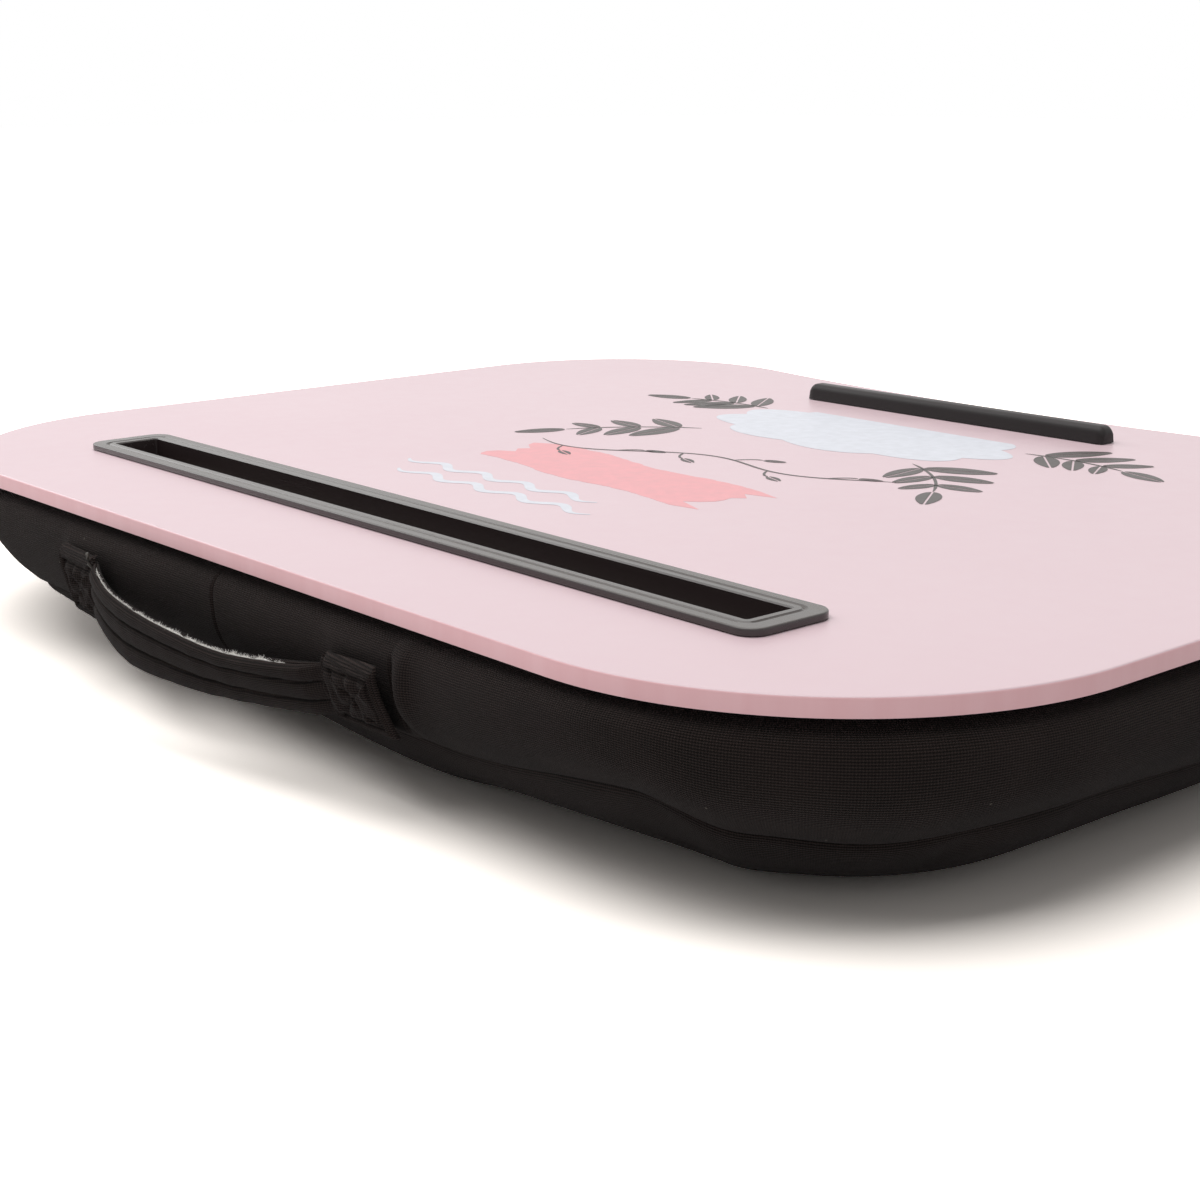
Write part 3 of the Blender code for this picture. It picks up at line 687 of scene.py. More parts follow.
def black_knit():
    """Rib knit: columns of small v-shaped loops with painted shade between them, pale lint, and the sheen of
    brushed yarn.
    """
    material, shader = new_material("black_knit_fabric", knit_colour, 0.9, 0.07)
    shader.inputs["Sheen Weight"].default_value = 0.05
    shader.inputs["Sheen Roughness"].default_value = 0.45
    uv = add_node(material, "UVMap", uv_map="knit").outputs[0]
    parts = add_node(material, "SeparateXYZ", {0: uv})
    wales = arithmetic(material, "MULTIPLY", parts.outputs["X"], 2 * pi / knit_pitch)
    courses = arithmetic(material, "MULTIPLY", parts.outputs["Y"], 2 * pi / knit_pitch)
    column = arithmetic(material, "SINE", wales)
    slant = arithmetic(material, "MULTIPLY", arithmetic(material, "ABSOLUTE", column), 1.6)
    row = arithmetic(material, "SINE", arithmetic(material, "ADD", courses, slant))
    loops = arithmetic(material, "ADD", arithmetic(material, "MULTIPLY", row, 0.68),
                       arithmetic(material, "MULTIPLY", column, 0.32))
    height = graded(material, loops, -0.5, 0.85)
    uneven = speckle(material, uv, 55.0, 4.0)
    fuzz = speckle(material, uv, 2200.0, 2.0)
    cells = add_node(material, "TexVoronoi", {"Vector": uv, "Scale": 110.0})
    near = arithmetic(material, "LESS_THAN", cells.outputs["Distance"], 0.035)
    rare = arithmetic(material, "GREATER_THAN",
                      add_node(material, "SeparateColor", {0: cells.outputs["Color"]}).outputs[0], 0.72)
    lint = arithmetic(material, "MULTIPLY", near, rare)
    # Low parts of the loops are painted darker: painted shade in the knit's gaps, with random unevenness.
    shade = arithmetic(material, "ADD", arithmetic(material, "MULTIPLY", height, 0.8),
                       arithmetic(material, "MULTIPLY", uneven, 0.36), clamp=True)
    yarn_with_painted_shade = mixed(material, shade, linear((1, 1, 1)), linear((54, 44, 41)))
    link(material, mixed(material, arithmetic(material, "MULTIPLY", lint, 0.6), yarn_with_painted_shade, linear((105, 99, 92))),
         shader, "Base Color")
    bumped(material, shader, arithmetic(material, "ADD", height, arithmetic(material, "MULTIPLY", fuzz, 0.5)),
           1.0, 0.0003)
    return material


def eased(share):
    """A share kept between 0 and 1, changing smoothly at both ends."""
    share = max(0.0, min(1.0, share))
    return share * share * (3 - 2 * share)


def fall_off(distance, reach):
    """From 1 at no distance, smoothly down to 0 at the reach."""
    return cos(pi / 2 * min(1.0, abs(distance) / reach)) ** 2


def slackness(place):
    """How slack the band hangs, 1 at the user's right back corner."""
    return (eased((slack_from - place.run) / slack_change_back)
            * eased((place.run - slack_to) / slack_change_side))


def corner_draw(place):
    """How far the seam is drawn in at a corner, beyond its inset along the straight sides."""
    if back_corner_from < place.run < back_corner_to:
        return draw_back_left * place.turn
    if -back_corner_to < place.run < -back_corner_from:
        return draw_back_right * slackness(place)
    return draw_front * place.turn


def seam_at(place):
    """Inset and height of the lower seam at a place on the edge."""
    behind = pucker_reach_back if place.run < pucker_run else pucker_reach_side
    rise = pucker_rise * fall_off(place.run - pucker_run, behind)
    drop = sag_drop * fall_off(place.run - sag_run, sag_reach)
    slack = slack_rise * fall_off(place.run - slack_rise_run, slack_rise_reach)
    side = side_rise * fall_off(place.run - side_rise_run, side_rise_reach)
    return seam_tuck + corner_draw(place), seam_height + rise - drop + slack + side


def band_share(share, power):
    """How full the band stands between its lower seam, 0, and its upper one, 1."""
    if share < band_full_at:
        return 1 - (1 - share / band_full_at) ** power
    return 1 - band_top_loss * ((share - band_full_at) / (1 - band_full_at)) ** band_top_power


def cover_profile(place):
    """Outside of the cover at one place, as (inset, height), from the floor up to the flat under the pads."""
    inset, height = seam_at(place)
    reach = belly_reach - belly_corner_loss * place.turn
    for start, full, end, gone, extra in belly_lifts:
        if start < place.run < gone:
            from_ends = min((place.run - start) / (full - start), (gone - place.run) / (gone - end))
            reach += extra * eased(from_ends)
    reach = min(reach, board_back_radius - belly_corner_room - inset)
    points = []
    for step in range(belly_steps):
        angle = pi / 2 * (1 - step / belly_steps)
        points.append((inset + reach * (1 - cos(angle) ** belly_power),
                       height * (1 - sin(angle) ** belly_power)))
    points.append((inset + seam_groove, height + 0.0008))
    points.append((inset - (inset + band_bulge) * 0.06, height - 0.0007))
    power = band_power - band_slack_power * slackness(place)
    for step in range(1, band_steps + 1):
        share = step / band_steps
        points.append((inset - (inset + band_bulge) * band_share(share, power),
                       height + (cushion_height - height) * share))
    edge_inset = points[-1][0]
    points[-1] = (edge_inset + seam_groove / 2, cushion_height - 0.0004)
    points += [(edge_inset + top_slope * 0.25, cushion_height - 0.0006),
               (edge_inset + top_slope * 0.6, (cushion_height + cover_flat_top) / 2),
               (edge_inset + top_slope, cover_flat_top)]
    return points


# Plane that the handle's patches are sewn on: it leans out at its top
patch_seat_y = 0.18709
patch_middle_z = 0.0345
patch_lean = radians(17.41)
patch_middle_x = 0.075
patch_length = 0.026
patch_height = 0.0212
patch_hold_reach = 0.006
patch_far_hold = 2.4  # the band bulges up closer beside the patch on the user's left
patch_seat_gap = 0.0004
straight_back_y = 0.17
patch_curl = 14.0  # the seat curves back towards the band above its middle
# Past the far end of the patch on the user's left the fabric is drawn in, and it bulges just beyond:
# where along the back, how far, and how far each reaches along and up from its middle
patch_dip_x = 0.0882
patch_dip = 0.0028
patch_dip_reach = 0.0014
patch_dip_height = 0.016
patch_bulge_x = 0.0926
patch_bulge = 0.003
patch_bulge_reach = 0.0056
patch_bulge_height = 0.021
patch_bulge_up = 0.003

lower_seam_row = belly_steps
upper_seam_row = belly_steps + 1 + band_steps
seam_side = 0.0007
seam_sunk = 0.0009
back_seam_lean = 0.0026  # sewn a little out of upright
dense = 0.0017
straight_back = board_high.x - board_back_radius
# Stretches of the back from its middle seam outward, and how closely each is meshed
stops = (3 * seam_side, 0.0582, 0.0665, 0.0845, 0.0865, 0.0901, 0.0965, straight_back)
spacings = (cover_spacing, dense, cover_spacing, dense, dense / 3, dense, cover_spacing)
back_runs = [0.0, seam_side, 2 * seam_side]
for start, end, spacing in zip(stops, stops[1:], spacings):
    back_runs += spread(start, end, spacing)
places = edge_places(cover_spacing, back_runs)
half_count = len(places) // 2
profiles = [cover_profile(place) for place in places]
row_count = len(profiles[0])
rows = []
for row in range(row_count):
    rows.append([Vector((p.x - p.out_x * profile[row][0], p.y - p.out_y * profile[row][0], profile[row][1]))
                 for p, profile in zip(places, profiles)])
for index in (0, half_count):
    for row in range(lower_seam_row + 1, upper_seam_row):
        rows[row][index].y -= seam_sunk * places[index].out_y
for row in range(lower_seam_row, upper_seam_row + 1):
    up = (row - lower_seam_row) / (upper_seam_row - lower_seam_row)
    for point in rows[row]:
        if point.y > straight_back_y:
            point.x += back_seam_lean * (2 * up - 1) * fall_off(point.x, 0.03)


def sewn_under_patch(point):
    """How firmly the cover is held flat at a point: 1 under a patch, down to 0 just outside it."""
    if point.y < straight_back_y:
        return 0.0
    up = (point.z - patch_middle_z) / cos(patch_lean)
    outward = abs(point.x) - patch_middle_x
    past_end = abs(outward) - patch_length / 2
    if point.x < 0 and outward > 0:
        past_end *= patch_far_hold
    beyond = max(past_end, abs(up) - patch_height / 2)
    return max(0.0, min(1.0, 1 - beyond / patch_hold_reach))


for row in rows[lower_seam_row + 2:upper_seam_row]:
    for point in row:
        held = sewn_under_patch(point)
        above = max(0.0, (point.z - patch_middle_z) / cos(patch_lean))
        seat = (patch_seat_y + (point.z - patch_middle_z) * tan(patch_lean)
                - patch_curl * above ** 2 - patch_seat_gap)
        point.y += (seat - point.y) * eased(held)
        if point.y > straight_back_y:
            dip = patch_dip * fall_off(point.x + patch_dip_x, patch_dip_reach)
            bulge = patch_bulge * fall_off(point.x + patch_bulge_x, patch_bulge_reach)
            point.y -= dip * fall_off(point.z - patch_middle_z, patch_dip_height)
            point.y += bulge * fall_off(point.z - patch_middle_z - patch_bulge_up, patch_bulge_height)

bm = bmesh.new()
made = join_rows(bm, rows)
# The flat underneath and the flat under the board, in rings that shrink to a middle point
for rim in (made[0], made[-1]):
    ring = rim
    for share in floor_ring_shares:
        inner = [bm.verts.new((v.co.x * share, v.co.y * share, v.co.z)) for v in rim]
        for i in range(len(inner)):
            j = (i + 1) % len(inner)
            bm.faces.new((ring[i], ring[j], inner[j], inner[i]))
        ring = inner
    middle = bm.verts.new((0, 0, ring[0].co.z))
    for i in range(len(ring)):
        bm.faces.new((ring[i], ring[(i + 1) % len(ring)], middle))
bm.verts.index_update()
bmesh.ops.recalc_face_normals(bm, faces=bm.faces)
lengths = [0.0]
for lower, upper in zip(rows, rows[1:]):
    lengths.append(lengths[-1] + (upper[half_count // 3] - lower[half_count // 3]).length)
edge_length = 2 * places[half_count].run
total = row_count * len(places)
uv = bm.loops.layers.uv.new("knit")
for face in bm.faces:
    flat = any(vert.index >= total for vert in face.verts)
    columns = [loop.vert.index % len(places) for loop in face.loops]
    for loop, column in zip(face.loops, columns):
        along = places[column].run % edge_length
        if along == 0 and max(columns) > half_count:
            along = edge_length
        height = lengths[min(loop.vert.index, total - 1) // len(places)]
        loop[uv].uv = loop.vert.co.xy if flat else (along, height)
crease = bm.edges.layers.float.new("crease_edge")
for loop in (made[lower_seam_row], made[upper_seam_row]):
    for i in range(len(loop)):
        bm.edges.get((loop[i - 1], loop[i]))[crease] = 0.9
for index in (0, half_count):
    for row in range(lower_seam_row, upper_seam_row):
        bm.edges.get((made[row][index], made[row + 1][index]))[crease] = 0.8
cover_mesh = bpy.data.meshes.new("cushion_cover")
bm.to_mesh(cover_mesh)
bm.free()
cover = shown("cushion_cover", cover_mesh)


def held_points():
    """Points that don't move when the cushion fills: seams, the flat on the floor and the top."""
    held = set(range(total, len(cover_mesh.vertices)))
    for row in [0, lower_seam_row, lower_seam_row + 1, *range(upper_seam_row, row_count)]:
        held.update(range(row * len(places), (row + 1) * len(places)))
    for index in (0, half_count):
        held.update(row * len(places) + index for row in range(lower_seam_row, upper_seam_row))
    held.update(v.index for v in cover_mesh.vertices if sewn_under_patch(v.co) > 0.8)
    return sorted(held)


def fill_with_beads(piece):
    """Let the fabric swell between its seams, as the beads push it out."""
    group = piece.vertex_groups.new(name="sewn")
    group.add(held_points(), 1.0, "REPLACE")
    cloth = piece.modifiers.new("cloth", "CLOTH")
    settings = cloth.settings
    settings.vertex_group_mass = "sewn"
    settings.quality = 5
    settings.mass = 0.2
    settings.tension_stiffness = 12
    settings.compression_stiffness = 12
    settings.shear_stiffness = 6
    settings.bending_stiffness = 0.6
    settings.use_pressure = True
    settings.uniform_pressure_force = 4
    settings.effector_weights.gravity = 0
    scene = bpy.context.scene
    for step in range(1, 21):
        scene.frame_set(step)
    evaluated = piece.evaluated_get(bpy.context.evaluated_depsgraph_get())
    filled = [v.co.copy() for v in evaluated.data.vertices]
    piece.modifiers.remove(cloth)
    scene.frame_set(1)
    for vertex, co in zip(piece.data.vertices, filled):
        moved = co - vertex.co
        limit = band_puff_limit if vertex.index >= (lower_seam_row + 1) * len(places) else belly_puff_limit
        if moved.length > limit:
            moved *= limit / moved.length
        vertex.co += moved
        vertex.co.z = max(0.0, vertex.co.z)


fill_with_beads(cover)
rumple_scale = 28
rumple_depth = 0.0007
for vertex in cover_mesh.vertices:
    loose = 1 - sewn_under_patch(vertex.co)
    if 0.0005 < vertex.co.z < cover_flat_top and vertex.index < total:
        vertex.co += vertex.normal * noise.noise(vertex.co * rumple_scale) * rumple_depth * loose
bm = bmesh.new()
bm.from_mesh(cover_mesh)
bm.verts.ensure_lookup_table()
bmesh.ops.delete(bm, geom=bm.verts[total:], context="VERTS")
bm.to_mesh(cover_mesh)
bm.free()
cover.modifiers.new("fullness", "SUBSURF").levels = 1
fine_mesh = bpy.data.meshes.new_from_object(cover.evaluated_get(bpy.context.evaluated_depsgraph_get()))
cover.modifiers.clear()
bm = bmesh.new()
bm.from_mesh(fine_mesh)
open_edges = [edge for edge in bm.edges if edge.is_boundary]
bmesh.ops.holes_fill(bm, edges=open_edges, sides=0)
bm.to_mesh(fine_mesh)
bm.free()
cover.data = fine_mesh
knit = black_knit()
fine_mesh.materials.append(knit)
fine_mesh.shade_smooth()
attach(cover, "tray")
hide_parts("cover_top_panel", "cover_band_left", "cover_band_right", "cover_bottom_panel",
            "bead_filling")


# Handle patches
# Squares of the same knit with a ribbed hem on three sides, sewn down over the strap's flattened ends
# with a box and a cross. They wrinkle between the stitches, and the strap draws their edges outward.
patch_roof = 0.0018
patch_thickness = 0.0013
patch_corner = 0.0016
patch_columns = 92
patch_rows = 75
patch_edge_lift = 0.0022
patch_edge_round = 0.0009
patch_edge_reach = 0.0012
strap_side_stitches = 0.0015  # how far the box stands in from the patch's edge over the strap
hem_rib_pitch = 0.0008
hem_rib_count = 4
hem_rib_depth = 0.00055
box_groove_depth = 0.0009
box_groove_width = 0.0006
cross_depth = 0.0008
wrinkle_depth = 0.0013
gather_pitch = 0.0027
gather_depth = 0.0004
patch_drops = {-1: 0.0016, 1: 0.0}  # the one on the user's left is sewn lower
patch_shifts = {-1: 0.0, 1: 0.0015}
# How far out and up each patch's corners are drawn: by the strap low and high, at the far end low and high
patch_pulls = {-1: ((0.0007, 0.001), (0.0014, 0.0), (0.0, 0.0008), (0.0027, 0.002)),
               1: ((0.0031, -0.0004), (0.002, 0.0009), (0.0, -0.0015), (0.0, 0.0005))}
stitch_length = 0.0019
stitch_pitch = 0.0025
stitch_radius = 0.00022
stitch_sides = 6


def on_patch_plane(x, out, up):
    """Point at a distance out from and up along the surface that the handle is sewn on."""
    out -= patch_curl * max(0.0, up) ** 2
    return Vector((x, patch_seat_y + out * cos(patch_lean) + up * sin(patch_lean),
                   patch_middle_z + up * cos(patch_lean) - out * sin(patch_lean)))


def patch_point(side, across, up, out):
    """Point on or over one patch, for a place measured from the patch's middle."""
    far = side * across / patch_length + 0.5
    high = up / patch_height + 0.5
    shares = ((1 - far) * (1 - high), (1 - far) * high, far * (1 - high), far * high)
    drawn_out = sum(share * pull[0] for share, pull in zip(shares, patch_pulls[side]))
    drawn_up = sum(share * pull[1] for share, pull in zip(shares, patch_pulls[side]))
    return on_patch_plane(side * patch_middle_x + patch_shifts[side] + across, out + drawn_out,
                          up + drawn_up - patch_drops[side])


def patch_relief(side, across, up):
    """Height of the patch's face over its underside, for a place measured from its middle."""
    from_edge = min(patch_length / 2 - side * across, patch_height / 2 - abs(up))
    hem = hem_rib_pitch * hem_rib_count
    height = patch_thickness
    if from_edge < hem:
        height += hem_rib_depth * (abs(sin(pi * from_edge / hem_rib_pitch)) - 0.5)
    from_strap = patch_length / 2 + side * across
    box = min(abs(from_edge - hem - box_groove_width), abs(from_strap - strap_side_stitches))
    height -= box_groove_depth * exp(-(box / box_groove_width) ** 2)
    gathers = noise.noise(Vector((across / gather_pitch, up / gather_pitch, 8.0)))
    height += gather_depth * gathers * exp(-(box / 0.002) ** 2)
    if from_edge > hem:
        slope = (patch_height - 2 * hem) / (patch_length - 2 * hem)
        for sign in (-1, 1):
            off_line = abs(up - sign * slope * across) / hypot(1, slope)
            height -= cross_depth * exp(-(off_line / box_groove_width) ** 2)
        wave = noise.noise(Vector((across * 330 + 7, up * 210, 2.0)))
        height += wrinkle_depth * (0.6 + wave) * min(1, (from_edge - hem) / 0.002)
    return height


def rounded_place(share_x, share_y):
    """A place of a square grid brought inside the patch's rounded corners."""
    x = share_x * patch_length / 2
    y = share_y * patch_height / 2
    over_x = abs(x) - (patch_length / 2 - patch_corner)
    over_y = abs(y) - (patch_height / 2 - patch_corner)
    if over_x > 0 and over_y > 0:
        shrink = max(over_x, over_y) / hypot(over_x, over_y)
        x = copysign(patch_length / 2 - patch_corner + over_x * shrink, x)
        y = copysign(patch_height / 2 - patch_corner + over_y * shrink, y)
    return x, y


def add_stitches(bm, start, end, outward, sink, material_index):
    """A row of short rounded thread stitches on a line, lying a little way into the fabric."""
    count = max(1, round((end - start).length / stitch_pitch))
    ahead = (end - start).normalized()
    across = ahead.cross(outward).normalized()
    for index in range(count):
        middle = start + (end - start) * ((index + 0.5) / count) - outward * sink
        rings = []
        for place, size in ((-0.5, 0.35), (-0.36, 1), (0, 1.1), (0.36, 1), (0.5, 0.35)):
            sunk = stitch_radius * 3.2 * place * place
            centre = middle + ahead * (place * stitch_length) - outward * sunk
            ring = []
            for side in range(stitch_sides):
                angle = 2 * pi * side / stitch_sides
                around = across * cos(angle) + outward * sin(angle)
                ring.append(centre + around * stitch_radius * size)
            rings.append(ring)
        for ring in join_capped(bm, rings):
            for vert in ring:
                for face in vert.link_faces:
                    face.material_index = material_index


def sewing_thread(name, colour, roughness):
    material, shader = new_material(name, colour, roughness, 0.4)
    place = object_place(material)
    twist = speckle(material, place, 2400.0)
    darker = [channel * 0.4 for channel in colour]
    link(material, mixed(material, twist, linear(darker), linear(colour)), shader, "Base Color")
    bumped(material, shader, twist, 0.4, 0.0001)
    return material


thread = sewing_thread("black_thread", (30, 27, 26), 0.6)
for side, name in ((-1, "left"), (1, "right")):
    bm = bmesh.new()
    face_rows = []
    under_rows = []
    for row in range(patch_rows + 1):
        faces_up = []
        faces_down = []
        for column in range(patch_columns + 1):
            x, y = rounded_place(2 * column / patch_columns - 1, 2 * row / patch_rows - 1)
            from_edge = min(patch_length / 2 - abs(x), patch_height / 2 - abs(y))
            relief = patch_relief(side, x, y)
            from_top = patch_height / 2 - abs(y)
            lift = patch_roof * (0.3 + 0.7 * min(1.0, from_top / patch_edge_lift) ** 0.7)
            edge_round = patch_edge_round * (1 - min(1.0, from_edge / patch_edge_reach)) ** 2
            faces_up.append(patch_point(side, x, y, lift + relief - edge_round))
            faces_down.append(patch_point(side, x, y, lift))
        face_rows.append(faces_up)
        under_rows.append(faces_down)
    upper = join_rows(bm, face_rows, closed=False)
    lower = join_rows(bm, under_rows, closed=False)
    rims = []
    for grid in (upper, lower):
        rims.append(grid[0] + [r[-1] for r in grid[1:-1]] + grid[-1][::-1] + [r[0] for r in grid[-2:0:-1]])
    for i in range(len(rims[0])):
        j = (i + 1) % len(rims[0])
        bm.faces.new((rims[0][i], rims[0][j], rims[1][j], rims[1][i]))
    outward = on_patch_plane(0, 1, 0) - on_patch_plane(0, 0, 0)
    far_x = side * (patch_length / 2 - hem_rib_pitch * hem_rib_count - box_groove_width)
    near_x = -side * (patch_length / 2 - strap_side_stitches)
    inner_y = patch_height / 2 - hem_rib_pitch * hem_rib_count - box_groove_width
    corners = [(near_x, -inner_y), (far_x, -inner_y), (far_x, inner_y), (near_x, inner_y)]
    lines = [(corners[i], corners[(i + 1) % 4]) for i in range(4)]
    lines += [(corners[0], corners[2]), (corners[1], corners[3])]
    level = patch_roof + patch_thickness - box_groove_depth
    for (x1, y1), (x2, y2) in lines:
        sewn = [patch_point(side, x1 + (x2 - x1) * step / 3, y1 + (y2 - y1) * step / 3, level)
                for step in range(4)]
        for start, end in zip(sewn, sewn[1:]):
            add_stitches(bm, start, end, outward, 0.0003, 1)
    layer = bm.loops.layers.uv.new("knit")
    for face in bm.faces:
        for loop in face.loops:
            loop[layer].uv = (loop.vert.co.x, loop.vert.co.z / cos(patch_lean))
    patch = add_piece(f"handle_patch_sewn_{name}", bm, knit, 60)
    patch.data.materials.append(thread)
    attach(patch, "tray")
    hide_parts(f"handle_patch_{name}", f"strap_end_{name}")


# Handle strap
# A strip of knit folded round fleece wadding, open along its top and quilted by two rows of
# lockstitch into three ridges. Its flattened ends are caught under the patches.
strap_half_length = 0.0617
strap_tuck = 0.0045
strap_stations = 132
# Places along the strap, from the user's left, -1, to the right, 1; half its width; how far it is raised
strap_stages = ((-1.1, 0.0077, -0.0006), (-1.0, 0.0077, -0.0006), (-0.5, 0.0085, 0.0),
                (0.0, 0.0092, 0.0001), (0.5, 0.0098, -0.0006), (0.85, 0.0082, 0.0011),
                (1.0, 0.0078, 0.0012), (1.1, 0.0078, 0.0012))
strap_bow = 0.00944
strap_bow_lean = 0.64  # it bows further near the user's right
strap_bow_powers = {-1: 0.69, 1: 0.9}
strap_droop = 0.0059
strap_droop_lean = 0.31
strap_ply = 0.001
strap_wadding = 0.0011
strap_mouth = 0.0005  # the open top, where the wadding shows
strap_ridge_puff = 0.0011
strap_valley_depth = 0.0013
strap_valley_width = 0.024
strap_twists = {-1: 30.7, 1: 21.0}
# How far each end is drawn out, up and outward along the edge, and how much further it leans
strap_pulls = {-1: (0.001, 0.0, 0.0, 2.0), 1: (0.0021, 0.0003, 0.0022, -8.0)}
strap_end_thinness = 0.58
strap_end_lift = 0.00015
tooth_pitch = 0.0023
blend_reach = 0.0045


def strap_place(share):
    """Point on the strap's back face, its lean and its half width, for -1 to 1 from the user's left."""
    side = 1 if share > 0 else -1
    arch = max(0.0, 1 - share * share)
    out, up, along, tilt = (eased((abs(share) - 0.1) / 0.9) * pull for pull in strap_pulls[side])
    tilt *= eased((abs(share) - 0.55) / 0.45)
    turned = 5.5 * arch - strap_twists[side] * arch * share - 2.0 * min(1.0, arch * 8) + tilt
    lean = patch_lean + radians(turned)
    bow = strap_bow * arch ** strap_bow_powers[side] * (1 + strap_bow_lean * share)
    base = Vector((share * strap_half_length + side * along, patch_seat_y + bow + out,
                   patch_middle_z - strap_droop * arch * (1 - strap_droop_lean * share) + up))
    base.z -= patch_drops[side] * abs(share) ** 6
    for (start, width, rise), (end, next_width, next_rise) in zip(strap_stages, strap_stages[1:]):
        if start <= share <= end:
            step = eased((share - start) / (end - start))
            half_width = width + (next_width - width) * step
            base.z += rise + (next_rise - rise) * step
            break
    return base, lean, half_width


def ridge_tops(share):
    """Where the two stitched rows lie, as shares of the strap's width from its bottom."""
    return 0.355 + 0.055 * share, 0.755 - 0.07 * eased((-share - 0.5) / 0.5)


def strap_face(level, share):
    """How far the quilted outer face stands out, at a share of the width from the bottom."""
    rows = ridge_tops(share)
    edges = (0.0, *rows, 1.0)
    puffs = (1.1, 1.0, 0.8)
    height = 0.0
    for low, high, puff in zip(edges, edges[1:], puffs):
        if low <= level <= high:
            height = strap_ridge_puff * puff * sin(pi * (level - low) / (high - low)) ** 0.6
    pull = 0.6 + 0.4 * abs(sin(pi * share * strap_half_length / tooth_pitch))
    for row in rows:
        height -= strap_valley_depth * pull * exp(-((level - row) / strap_valley_width) ** 2)
    return height


def strap_outline(share, thickness):
    """Closed outline of the folded strip as (out, share of the width from the bottom)."""
    outer = strap_ply * 2 + strap_wadding
    ripple = 0.00025 * noise.noise(Vector((share * 10, 3.0, 0.0)))
    points = [(0.0, 1.0), (0.0, 0.75), (0.0, 0.5), (0.0, 0.25), (0.0, 0.07), (0.0004, 0.02)]
    points += [(outer * 0.35, -0.012), (outer * 0.75, 0.0)]
    for step in range(1, 61):
        level = step / 61
        points.append((outer + strap_face(level, share) + ripple, level))
    mouth = strap_ply + strap_mouth
    points += [(outer + 0.0001, 0.985), (outer - 0.0003, 1.0), (mouth + 0.0003, 1.004), (mouth, 0.998)]
    points += [(mouth, 0.9), (strap_ply, 0.9), (strap_ply, 0.995), (strap_ply * 0.6, 1.004)]
    return [(out * thickness, level) for out, level in points]


def strap_point(share, out, level):
    base, lean, half_width = strap_place(share)
    up = half_width * (2 * level - 1)
    return base + Vector((0, out * cos(lean) + up * sin(lean),
                          up * cos(lean) - out * sin(lean)))


end_share = 1 + strap_tuck / strap_half_length
rows = []
alongs = []
for station in range(strap_stations + 1):
    share = end_share * (2 * station / strap_stations - 1)
    flatness = min(1.0, max(0.0, (abs(share) - 0.9) / 0.1))
    thickness = 1 - strap_end_thinness * flatness
    lift = strap_end_lift * flatness
    rows.append([strap_point(share, out + lift, level) for out, level in strap_outline(share, thickness)])
    alongs.append(share * strap_half_length)
bm = bmesh.new()
join_capped(bm, rows)
layer = bm.loops.layers.uv.new("knit")
bm.verts.index_update()
outline_count = len(rows[0])
for face in bm.faces:
    for loop in face.loops:
        station, point = divmod(loop.vert.index, outline_count)
        loop[layer].uv = (alongs[station], point * 0.00034)
for row in (0, 1):
    stitched = []
    for station in range(-56, 57):
        level = ridge_tops(station / 60)[row]
        stitched.append(strap_point(station / 60, strap_ply * 2 + strap_wadding - 0.0009, level))
    outward = strap_point(0, 1, level) - strap_point(0, 0, level)
    for start, end in zip(stitched[::2], stitched[2::2]):
        add_stitches(bm, start, end, outward, 0.0, 1)
strap = add_piece("quilted_strap", bm, knit, 70)
strap.data.materials.append(thread)
blend_step = blend_reach * (on_patch_plane(0, 1, 0) - on_patch_plane(0, 0, 0))
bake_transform(strap)
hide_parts("handle_strap")


# Fleece wadding
# Raw white edge of the fleece that pads the strap, fraying out of the strap's open top.
fleece_from = -0.86
fleece_to = 0.985
fleece_stations = 220
fleece_proud = 0.0003
fibre_count = 1100
fibre_radius = 0.00005


def raw_fleece():
    material, shader = new_material("raw_fleece", (226, 222, 214), 0.95, 0.2)
    shader.inputs["Sheen Weight"].default_value = 0.3
    place = object_place(material)
    tufts = speckle(material, place, 1500.0, 4.0)
    shade = mixed(material, tufts, linear((226, 220, 212)), linear((255, 254, 250)))
    link(material, shade, shader, "Base Color")
    bumped(material, shader, tufts, 0.8, 0.0004)
    return material


def fleece_fade(share):
    return min(1.0, 6 * (share - fleece_from), 6 * (fleece_to - share))


def fleece_top(share):
    """Level of the fleece's ragged top; here and there it sinks out of sight between the strap's edges."""
    tufts = 1.5 + 1.5 * noise.noise(Vector((share * 16, 0, 5)))
    tufts += 1.5 * noise.noise(Vector((share * 120, 4, 5)))
    ragged = fleece_proud * (fleece_fade(share) * tufts - 1.2)
    return 1.0 + ragged * (3 if ragged < 0 else 1) / (2 * strap_place(share)[2])


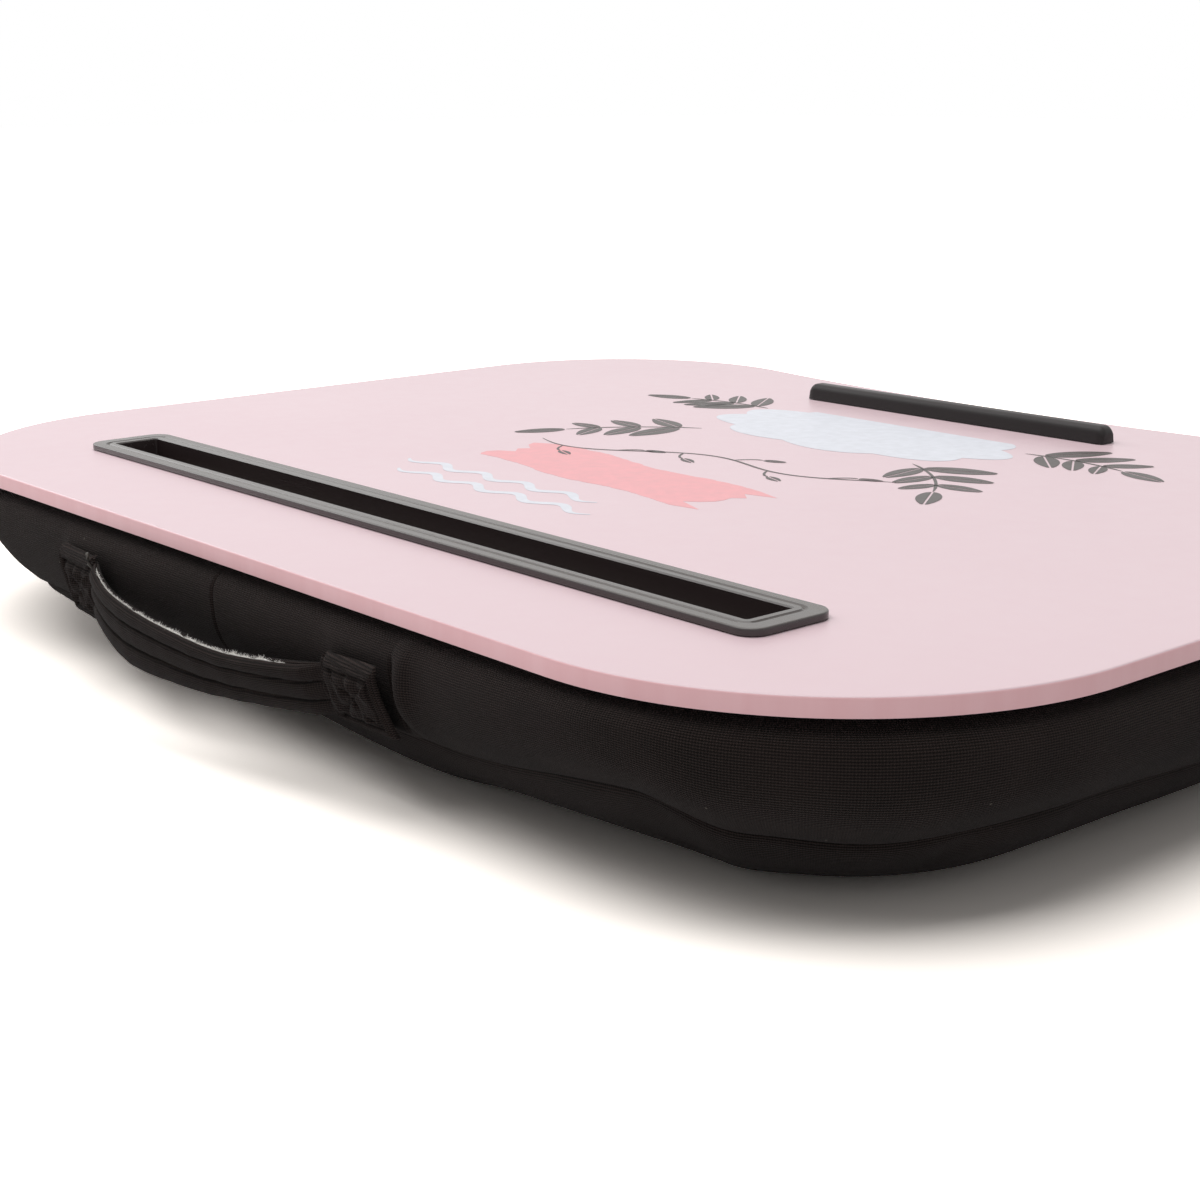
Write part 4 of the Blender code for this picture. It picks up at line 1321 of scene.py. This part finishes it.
rows = []
for station in range(fleece_stations + 1):
    share = fleece_from + (fleece_to - fleece_from) * station / fleece_stations
    sway = 0.00025 * noise.noise(Vector((share * 90, 9, 1)))
    front = strap_ply + strap_mouth * (1 - 0.45 * eased((share - 0.1) / 0.5)) - 0.00005
    back = strap_ply + 0.00005
    top = fleece_top(share)
    rows.append([strap_point(share, out, level) for out, level in (
        (back, 0.9), (front, 0.9), (front, top - 0.02), (front + sway, top - 0.005),
        ((front + back) / 2 + sway, top + 0.006), (back + sway, top - 0.004), (back, top - 0.02))])
bm = bmesh.new()
join_capped(bm, rows)
chance = random.Random(11)
for _ in range(fibre_count):
    share = chance.uniform(fleece_from, fleece_to)
    out = strap_ply + strap_mouth * chance.random()
    root = strap_point(share, out, fleece_top(share))
    length = fleece_fade(share) * (0.45 + 0.4 * eased((0.35 - share) / 0.5))
    tip = root + length * Vector((chance.gauss(0, 0.0007), chance.gauss(0, 0.0005),
                                  abs(chance.gauss(0.0004, 0.0004))))
    bend = (root + tip) / 2 + Vector((chance.gauss(0, 0.0002), chance.gauss(0, 0.0002), 0.0001))
    rings = []
    for centre, size in ((root, 1.0), (bend, 0.9), (tip, 0.4)):
        rings.append([centre + Vector((cos(angle), sin(angle), 0)) * fibre_radius * size
                      for angle in (0.3, 2.4, 4.5)])
    join_capped(bm, rings)
fleece = add_piece("fleece_edge", bm, raw_fleece(), 80)
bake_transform(fleece)
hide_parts("handle_padding")


# Thread knot
# Loose ends of the sewing thread, knotted at the top of the patch on the user's right, coloured much paler
# than the thread: a painted glint.
knot_radius = 0.00055
# Along the back, and out from and up along the surface that the patch is sewn on
knot_path = ((0.0620, 0.0050, 0.0092), (0.0627, 0.0061, 0.0112), (0.0621, 0.0065, 0.0130),
             (0.0632, 0.0061, 0.0141), (0.0637, 0.0055, 0.0130), (0.0629, 0.0053, 0.0120))
rings = []
points = [on_patch_plane(*point) for point in knot_path]
for i, point in enumerate(points):
    ahead = (points[min(i + 1, len(points) - 1)] - points[max(i - 1, 0)]).normalized()
    across = ahead.cross(Vector((0, 0.3, 1))).normalized()
    other = ahead.cross(across)
    size = knot_radius * (0.5 + 0.5 * sin(pi * (i + 0.5) / len(points)))
    rings.append([point + (across * cos(pi / 4 * k) + other * sin(pi / 4 * k)) * size
                  for k in range(8)])
# The knot's pale colour is a painted glint on the dark thread.
knot = lofted("thread_knot", rings, sewing_thread("knotted_thread_painted_glint", (92, 86, 80), 0.35), 80)
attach(knot, "tray")


# Floor and light
# A white table top that fades into a white surround, under a large soft lamp overhead and a smaller
# one on the user's right.
bounced_white = (0.9, 0.9, 0.9, 1)
seen_white = (1.86, 1.75, 1.65, 1)
fade_from = 0.5
fade_to = 1.3
table_half_size = 8
surround_light = 0.23


def white_table():
    """Seen by the camera it is whiter than what it throws back on the tray, and it fades out far away."""
    material, shader = new_material("white_table", (255, 255, 255), 0.9, 0.0)
    away = add_node(material, "VectorMath", {0: object_place(material)}, operation="LENGTH")
    faded = graded(material, away.outputs["Value"], fade_from, fade_to)
    seen = add_node(material, "LightPath").outputs["Is Camera Ray"]
    link(material, mixed(material, seen, bounced_white, seen_white), shader, "Base Color")
    glow = add_node(material, "Emission", {"Strength": arithmetic(material, "MULTIPLY", seen, faded)})
    both = add_node(material, "AddShader", {0: shader.outputs[0], 1: glow.outputs[0]})
    link(material, both.outputs[0], material.node_tree.nodes["Material Output"], "Surface")
    return material


bm = bmesh.new()
bmesh.ops.create_grid(bm, x_segments=1, y_segments=1, size=table_half_size)
floor_mesh = bpy.data.meshes.new("table_top")
bm.to_mesh(floor_mesh)
bm.free()
floor_mesh.materials.append(white_table())
floor = shown("table_top", floor_mesh)


def soft_lamp(name, place, size, power):
    """A square lamp aimed at the middle of the tray."""
    lamp = shown(name, bpy.data.lights.new(name, "AREA"))
    lamp.data.shape = "SQUARE"
    lamp.data.size = size
    lamp.data.energy = power
    lamp.location = place
    lamp.rotation_euler = (-Vector(place)).to_track_quat("-Z", "Y").to_euler()


soft_lamp("overhead_lamp", (0.15, 0.3, 1.6), 1.9, 27)
soft_lamp("side_lamp", (1.7, 0.5, 0.9), 1.0, 8)

world = bpy.data.worlds.new("white_surround")
world.use_nodes = True
bpy.context.scene.world = world
rays = add_node(world, "LightPath").outputs
mirrored = arithmetic(world, "MAXIMUM", rays["Is Glossy Ray"], rays["Is Transmission Ray"])
seen = arithmetic(world, "MAXIMUM", rays["Is Camera Ray"], mirrored)
background = world.node_tree.nodes["Background"]
link(world, graded(world, seen, 0.0, 1.0, surround_light, 1.0), background, "Strength")
background.inputs["Color"].default_value = (1, 1, 1, 1)
bpy.context.scene.view_settings.view_transform = "Standard"
